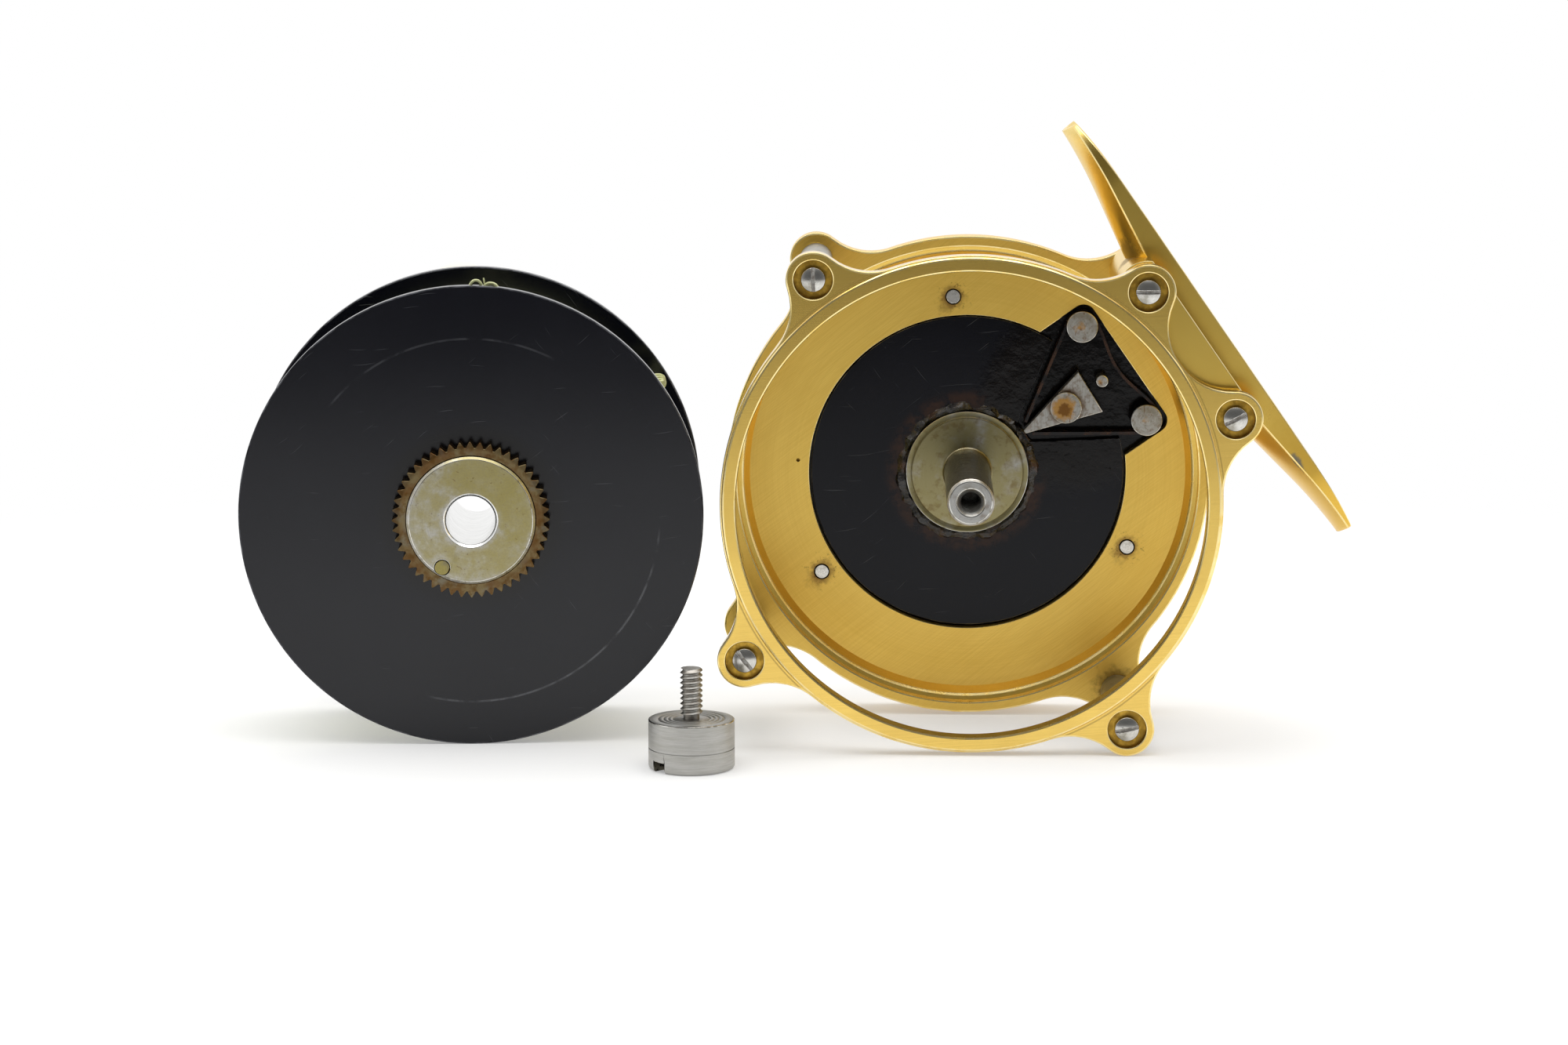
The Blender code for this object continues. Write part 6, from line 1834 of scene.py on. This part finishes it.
def build_spool_screw(context):
    """Slotted screw that holds the spool on the spindle, standing on its head."""
    spool = context.scene.reel_spool
    place = upright_place("screw_turn", spool.slot_turn)
    top = spool.head_height

    def off_groove(edge):
        return all(abs(vert.co.y - spool.groove_height) > spool.groove_depth for vert in edge.verts)

    head = turned(screw_head_profile(spool), RING_STEPS)
    cutter = slot_cutter(spool.head_r, spool.slot_depth, spool.slot_width)
    bm = round_edges(combined(head, cutter), SOFT_EDGE, chosen=off_groove)
    neck = top + NECK_LENGTH
    rod(NECK_R, top - NECK_SUNK, neck + NECK_SUNK, bm=bm)
    threaded(bm, spool, neck, top + spool.thread_length)
    face = steel_finish("screw_steel", place, shaded("steel", 0.88), 0.4, spacing=0.0001,
                        breaks=3.0, stain=0.0)
    face.lines("turned_lines", "steel_dark", 0.34, 0.3, height=0.00001,
               vector=face.turn(shift=(0.0, 0.4, 0.0)), Spacing=0.0005, Breaks=0.7)
    shank = face.mask("ring_band", Inner=0.0, Outer=0.0021, Softness=0.0008)
    face.mark("patches", "dirt", 0.35, share=0.3, within=shank, Size=0.0012, Amount=0.5, Softness=0.12)
    face.mark("spot", "grease", 0.3, share=0.7, Centre=(0.0, top + 0.0002, 0.0), Radius=0.0012,
              Softness=0.0008, Ragged=0.0016)
    edge = patchy("screw_edge", place, ("aluminium", 0.22), ("steel_dark", 0.3), 0.0015, 0.4)
    slot = patchy("screw_slot", place, ("steel_dark", 0.4), ("grease", 0.4), 0.001, 0.5)
    add_piece("spool_screw", bm, place, "screw", [face.done(), edge, slot])


def floor_material(stage):
    """Pale paper that takes a soft shadow by the reel and is plain white farther out."""
    material = bpy.data.materials.new("bench_paper")
    material.use_nodes = True
    graph = Graph(material.node_tree)
    shader = material.node_tree.nodes["Principled BSDF"]
    shader.inputs["Base Color"].default_value = (*stage.floor, 1.0)
    shader.inputs["Roughness"].default_value = 0.9
    shader.inputs["Specular IOR Level"].default_value = 0.1
    point = material.node_tree.nodes.new("ShaderNodeTexCoord").outputs["Object"]
    x, y, _ = graph.split(point)
    flat = graph.vector("LENGTH", graph.join(graph.math("MULTIPLY", x, FADE_SQUEEZE), y, 0.0), output=1)
    white_share = graph.math("MAXIMUM", graph.rise(flat, stage.fade_start, stage.fade_end), stage.glow)
    seen = 0.0
    for kind in ("Camera", "Glossy", "Transmission"):
        seen = graph.math("MAXIMUM", seen, graph.add("ShaderNodeLightPath", {}, f"Is {kind} Ray"))
    white = graph.add("ShaderNodeEmission", {"Color": (1.0, 1.0, 1.0), "Strength": 1.0})
    factor = graph.math("MULTIPLY", white_share, seen)
    mixed = graph.add("ShaderNodeMixShader", {0: factor, 1: shader.outputs[0], 2: white})
    graph.feed(material.node_tree.nodes["Material Output"].inputs["Surface"], mixed)
    return material


def build_world(stage):
    """White for the camera; for light and reflections, dim towards the viewer and bright behind."""
    world = bpy.data.worlds.new("studio")
    world.use_nodes = True
    bpy.context.scene.world = world
    graph = Graph(world.node_tree)
    background = world.node_tree.nodes["Background"]
    direction = world.node_tree.nodes.new("ShaderNodeTexCoord").outputs["Generated"]
    _, y, z = graph.split(direction)
    lit = graph.math("MAXIMUM", graph.rise(y, *WALL_EDGE), graph.rise(z, *CEILING_EDGE))
    level = graph.blend(lit, stage.dim_wall, 1.0)
    seen = graph.add("ShaderNodeLightPath", {}, "Is Camera Ray")
    graph.feed(background.inputs["Color"], (1.0, 1.0, 1.0))
    graph.feed(background.inputs["Strength"], graph.blend(seen, level, 1.0))


def build_stage(context):
    """Paper, softbox, surroundings and the camera of the photograph."""
    scene = context.scene
    stage = scene.reel_stage
    bm = bmesh.new()
    bmesh.ops.create_grid(bm, x_segments=1, y_segments=1, size=1.0)
    middle = (stage.floor_reach - stage.floor_front) / 2.0
    half = (stage.floor_reach + stage.floor_front) / 2.0
    bmesh.ops.scale(bm, verts=bm.verts, vec=(stage.floor_reach, half, 1.0))
    bmesh.ops.translate(bm, verts=bm.verts, vec=(0.0, middle, 0.0))
    mesh = bpy.data.meshes.new("bench_paper")
    bm.to_mesh(mesh)
    bm.free()
    mesh.materials.append(floor_material(stage))
    lamp = bpy.data.lights.new("softbox", "AREA")
    lamp.shape = "SQUARE"
    lamp.size = stage.box_size
    lamp.energy = stage.box_power
    camera = bpy.data.cameras.new("photo_camera")
    camera.sensor_width = SENSOR_WIDTH
    camera.lens = stage.lens
    camera.clip_start = CLIP_START
    paper, softbox, viewer = [bpy.data.objects.new(data.name, data) for data in (mesh, lamp, camera)]
    for obj in (paper, softbox, viewer):
        scene.collection.objects.link(obj)
    softbox.location = (*BOX_PLACE, stage.box_height)
    viewer.location = (stage.camera_x, stage.camera_y, stage.camera_z)
    viewer.rotation_euler = (math.pi / 2.0 - stage.tilt, 0.0, 0.0)
    scene.camera = viewer
    build_world(stage)
    scene.view_settings.view_transform = "Standard"


class PieceOperator:
    """Options that every operator of this add-on shares"""

    bl_options = {"REGISTER", "UNDO"}


class REEL_OT_front_ring(PieceOperator, bpy.types.Operator):
    """Build the gold ring with its lugs"""

    bl_idname = "reel.front_ring"
    bl_label = "Front Ring"

    def execute(self, context):
        build_front_ring(context)
        return {"FINISHED"}


class REEL_OT_back_plate(PieceOperator, bpy.types.Operator):
    """Build the gold plate with its keyhole opening"""

    bl_idname = "reel.back_plate"
    bl_label = "Back Plate"

    def execute(self, context):
        build_back_plate(context)
        return {"FINISHED"}


class REEL_OT_back_cover(PieceOperator, bpy.types.Operator):
    """Build the black cover with its boss, its pocket and old grease"""

    bl_idname = "reel.back_cover"
    bl_label = "Back Cover"

    def execute(self, context):
        build_back_cover(context)
        return {"FINISHED"}


class REEL_OT_frame_screws(PieceOperator, bpy.types.Operator):
    """Build the slotted screws in the lugs"""

    bl_idname = "reel.frame_screws"
    bl_label = "Frame Screws"

    def execute(self, context):
        build_frame_screws(context)
        return {"FINISHED"}


class REEL_OT_cover_screws(PieceOperator, bpy.types.Operator):
    """Build the screws of the cover"""

    bl_idname = "reel.cover_screws"
    bl_label = "Cover Screws"

    def execute(self, context):
        build_cover_screws(context)
        return {"FINISHED"}


class REEL_OT_pillars(PieceOperator, bpy.types.Operator):
    """Build the spacers between ring and plate"""

    bl_idname = "reel.pillars"
    bl_label = "Pillars"

    def execute(self, context):
        build_pillars(context)
        return {"FINISHED"}


class REEL_OT_foot(PieceOperator, bpy.types.Operator):
    """Build the foot that goes on the rod"""

    bl_idname = "reel.foot"
    bl_label = "Reel Foot"

    def execute(self, context):
        build_foot(context)
        return {"FINISHED"}


class REEL_OT_spindle(PieceOperator, bpy.types.Operator):
    """Build the spindle and its screw"""

    bl_idname = "reel.spindle"
    bl_label = "Spindle"

    def execute(self, context):
        build_spindle(context)
        return {"FINISHED"}


class REEL_OT_click_studs(PieceOperator, bpy.types.Operator):
    """Build the stud, the posts and the stop pin of the click"""

    bl_idname = "reel.click_studs"
    bl_label = "Click Studs"

    def execute(self, context):
        build_click_studs(context)
        return {"FINISHED"}


class REEL_OT_pawl(PieceOperator, bpy.types.Operator):
    """Build the pawl of the click"""

    bl_idname = "reel.pawl"
    bl_label = "Pawl"

    def execute(self, context):
        build_pawl(context)
        return {"FINISHED"}


class REEL_OT_click_spring(PieceOperator, bpy.types.Operator):
    """Build the spring of the click"""

    bl_idname = "reel.click_spring"
    bl_label = "Click Spring"

    def execute(self, context):
        build_click_spring(context)
        return {"FINISHED"}


class REEL_OT_spool_body(PieceOperator, bpy.types.Operator):
    """Build the black spool"""

    bl_idname = "reel.spool_body"
    bl_label = "Spool"

    def execute(self, context):
        build_spool_body(context)
        return {"FINISHED"}


class REEL_OT_line_pack(PieceOperator, bpy.types.Operator):
    """Build the wound line"""

    bl_idname = "reel.line_pack"
    bl_label = "Line"

    def execute(self, context):
        build_line_pack(context)
        return {"FINISHED"}


class REEL_OT_ratchet_gear(PieceOperator, bpy.types.Operator):
    """Build the gear that the pawl clicks on"""

    bl_idname = "reel.ratchet_gear"
    bl_label = "Ratchet Gear"

    def execute(self, context):
        build_ratchet_gear(context)
        return {"FINISHED"}


class REEL_OT_hub(PieceOperator, bpy.types.Operator):
    """Build the hub and its pin"""

    bl_idname = "reel.hub"
    bl_label = "Hub"

    def execute(self, context):
        build_hub(context)
        return {"FINISHED"}


class REEL_OT_handle(PieceOperator, bpy.types.Operator):
    """Build the handle's post and knob"""

    bl_idname = "reel.handle"
    bl_label = "Handle"

    def execute(self, context):
        build_handle(context)
        return {"FINISHED"}


class REEL_OT_spool_screw(PieceOperator, bpy.types.Operator):
    """Build the screw that holds the spool"""

    bl_idname = "reel.spool_screw"
    bl_label = "Spool Screw"

    def execute(self, context):
        build_spool_screw(context)
        return {"FINISHED"}


class REEL_OT_stage(PieceOperator, bpy.types.Operator):
    """Build the bench, the light and the camera"""

    bl_idname = "reel.stage"
    bl_label = "Stage"

    def execute(self, context):
        build_stage(context)
        return {"FINISHED"}


OPERATORS = (
    REEL_OT_front_ring, REEL_OT_back_plate, REEL_OT_back_cover, REEL_OT_frame_screws,
    REEL_OT_cover_screws, REEL_OT_pillars, REEL_OT_foot, REEL_OT_spindle, REEL_OT_click_studs,
    REEL_OT_pawl, REEL_OT_click_spring, REEL_OT_spool_body, REEL_OT_line_pack, REEL_OT_ratchet_gear,
    REEL_OT_hub, REEL_OT_handle, REEL_OT_spool_screw, REEL_OT_stage,
)


class REEL_PT_pieces(bpy.types.Panel):
    """Lists the operators that build the reel"""

    bl_idname = "REEL_PT_pieces"
    bl_label = "Fly Reel"
    bl_space_type = "VIEW_3D"
    bl_region_type = "UI"
    bl_category = "Fly Reel"

    def draw(self, context):
        column = self.layout.column()
        for operator in OPERATORS:
            column.operator(operator.bl_idname)


GROUPS = {"reel_cage": CageSizes, "reel_click": ClickSizes, "reel_spool": SpoolSizes,
          "reel_colours": ReelColours, "reel_stage": StageSettings}


def register():
    for kind in (*GROUPS.values(), *OPERATORS, REEL_PT_pieces):
        bpy.utils.register_class(kind)
    for name, kind in GROUPS.items():
        setattr(bpy.types.Scene, name, bpy.props.PointerProperty(type=kind))


def unregister():
    for name in GROUPS:
        delattr(bpy.types.Scene, name)
    for kind in reversed((*GROUPS.values(), *OPERATORS, REEL_PT_pieces)):
        bpy.utils.unregister_class(kind)


def main():
    register()
    make_groups()
    for operator in OPERATORS:
        getattr(bpy.ops.reel, operator.bl_idname.split(".")[1])()


if __name__ == "__main__":
    main()
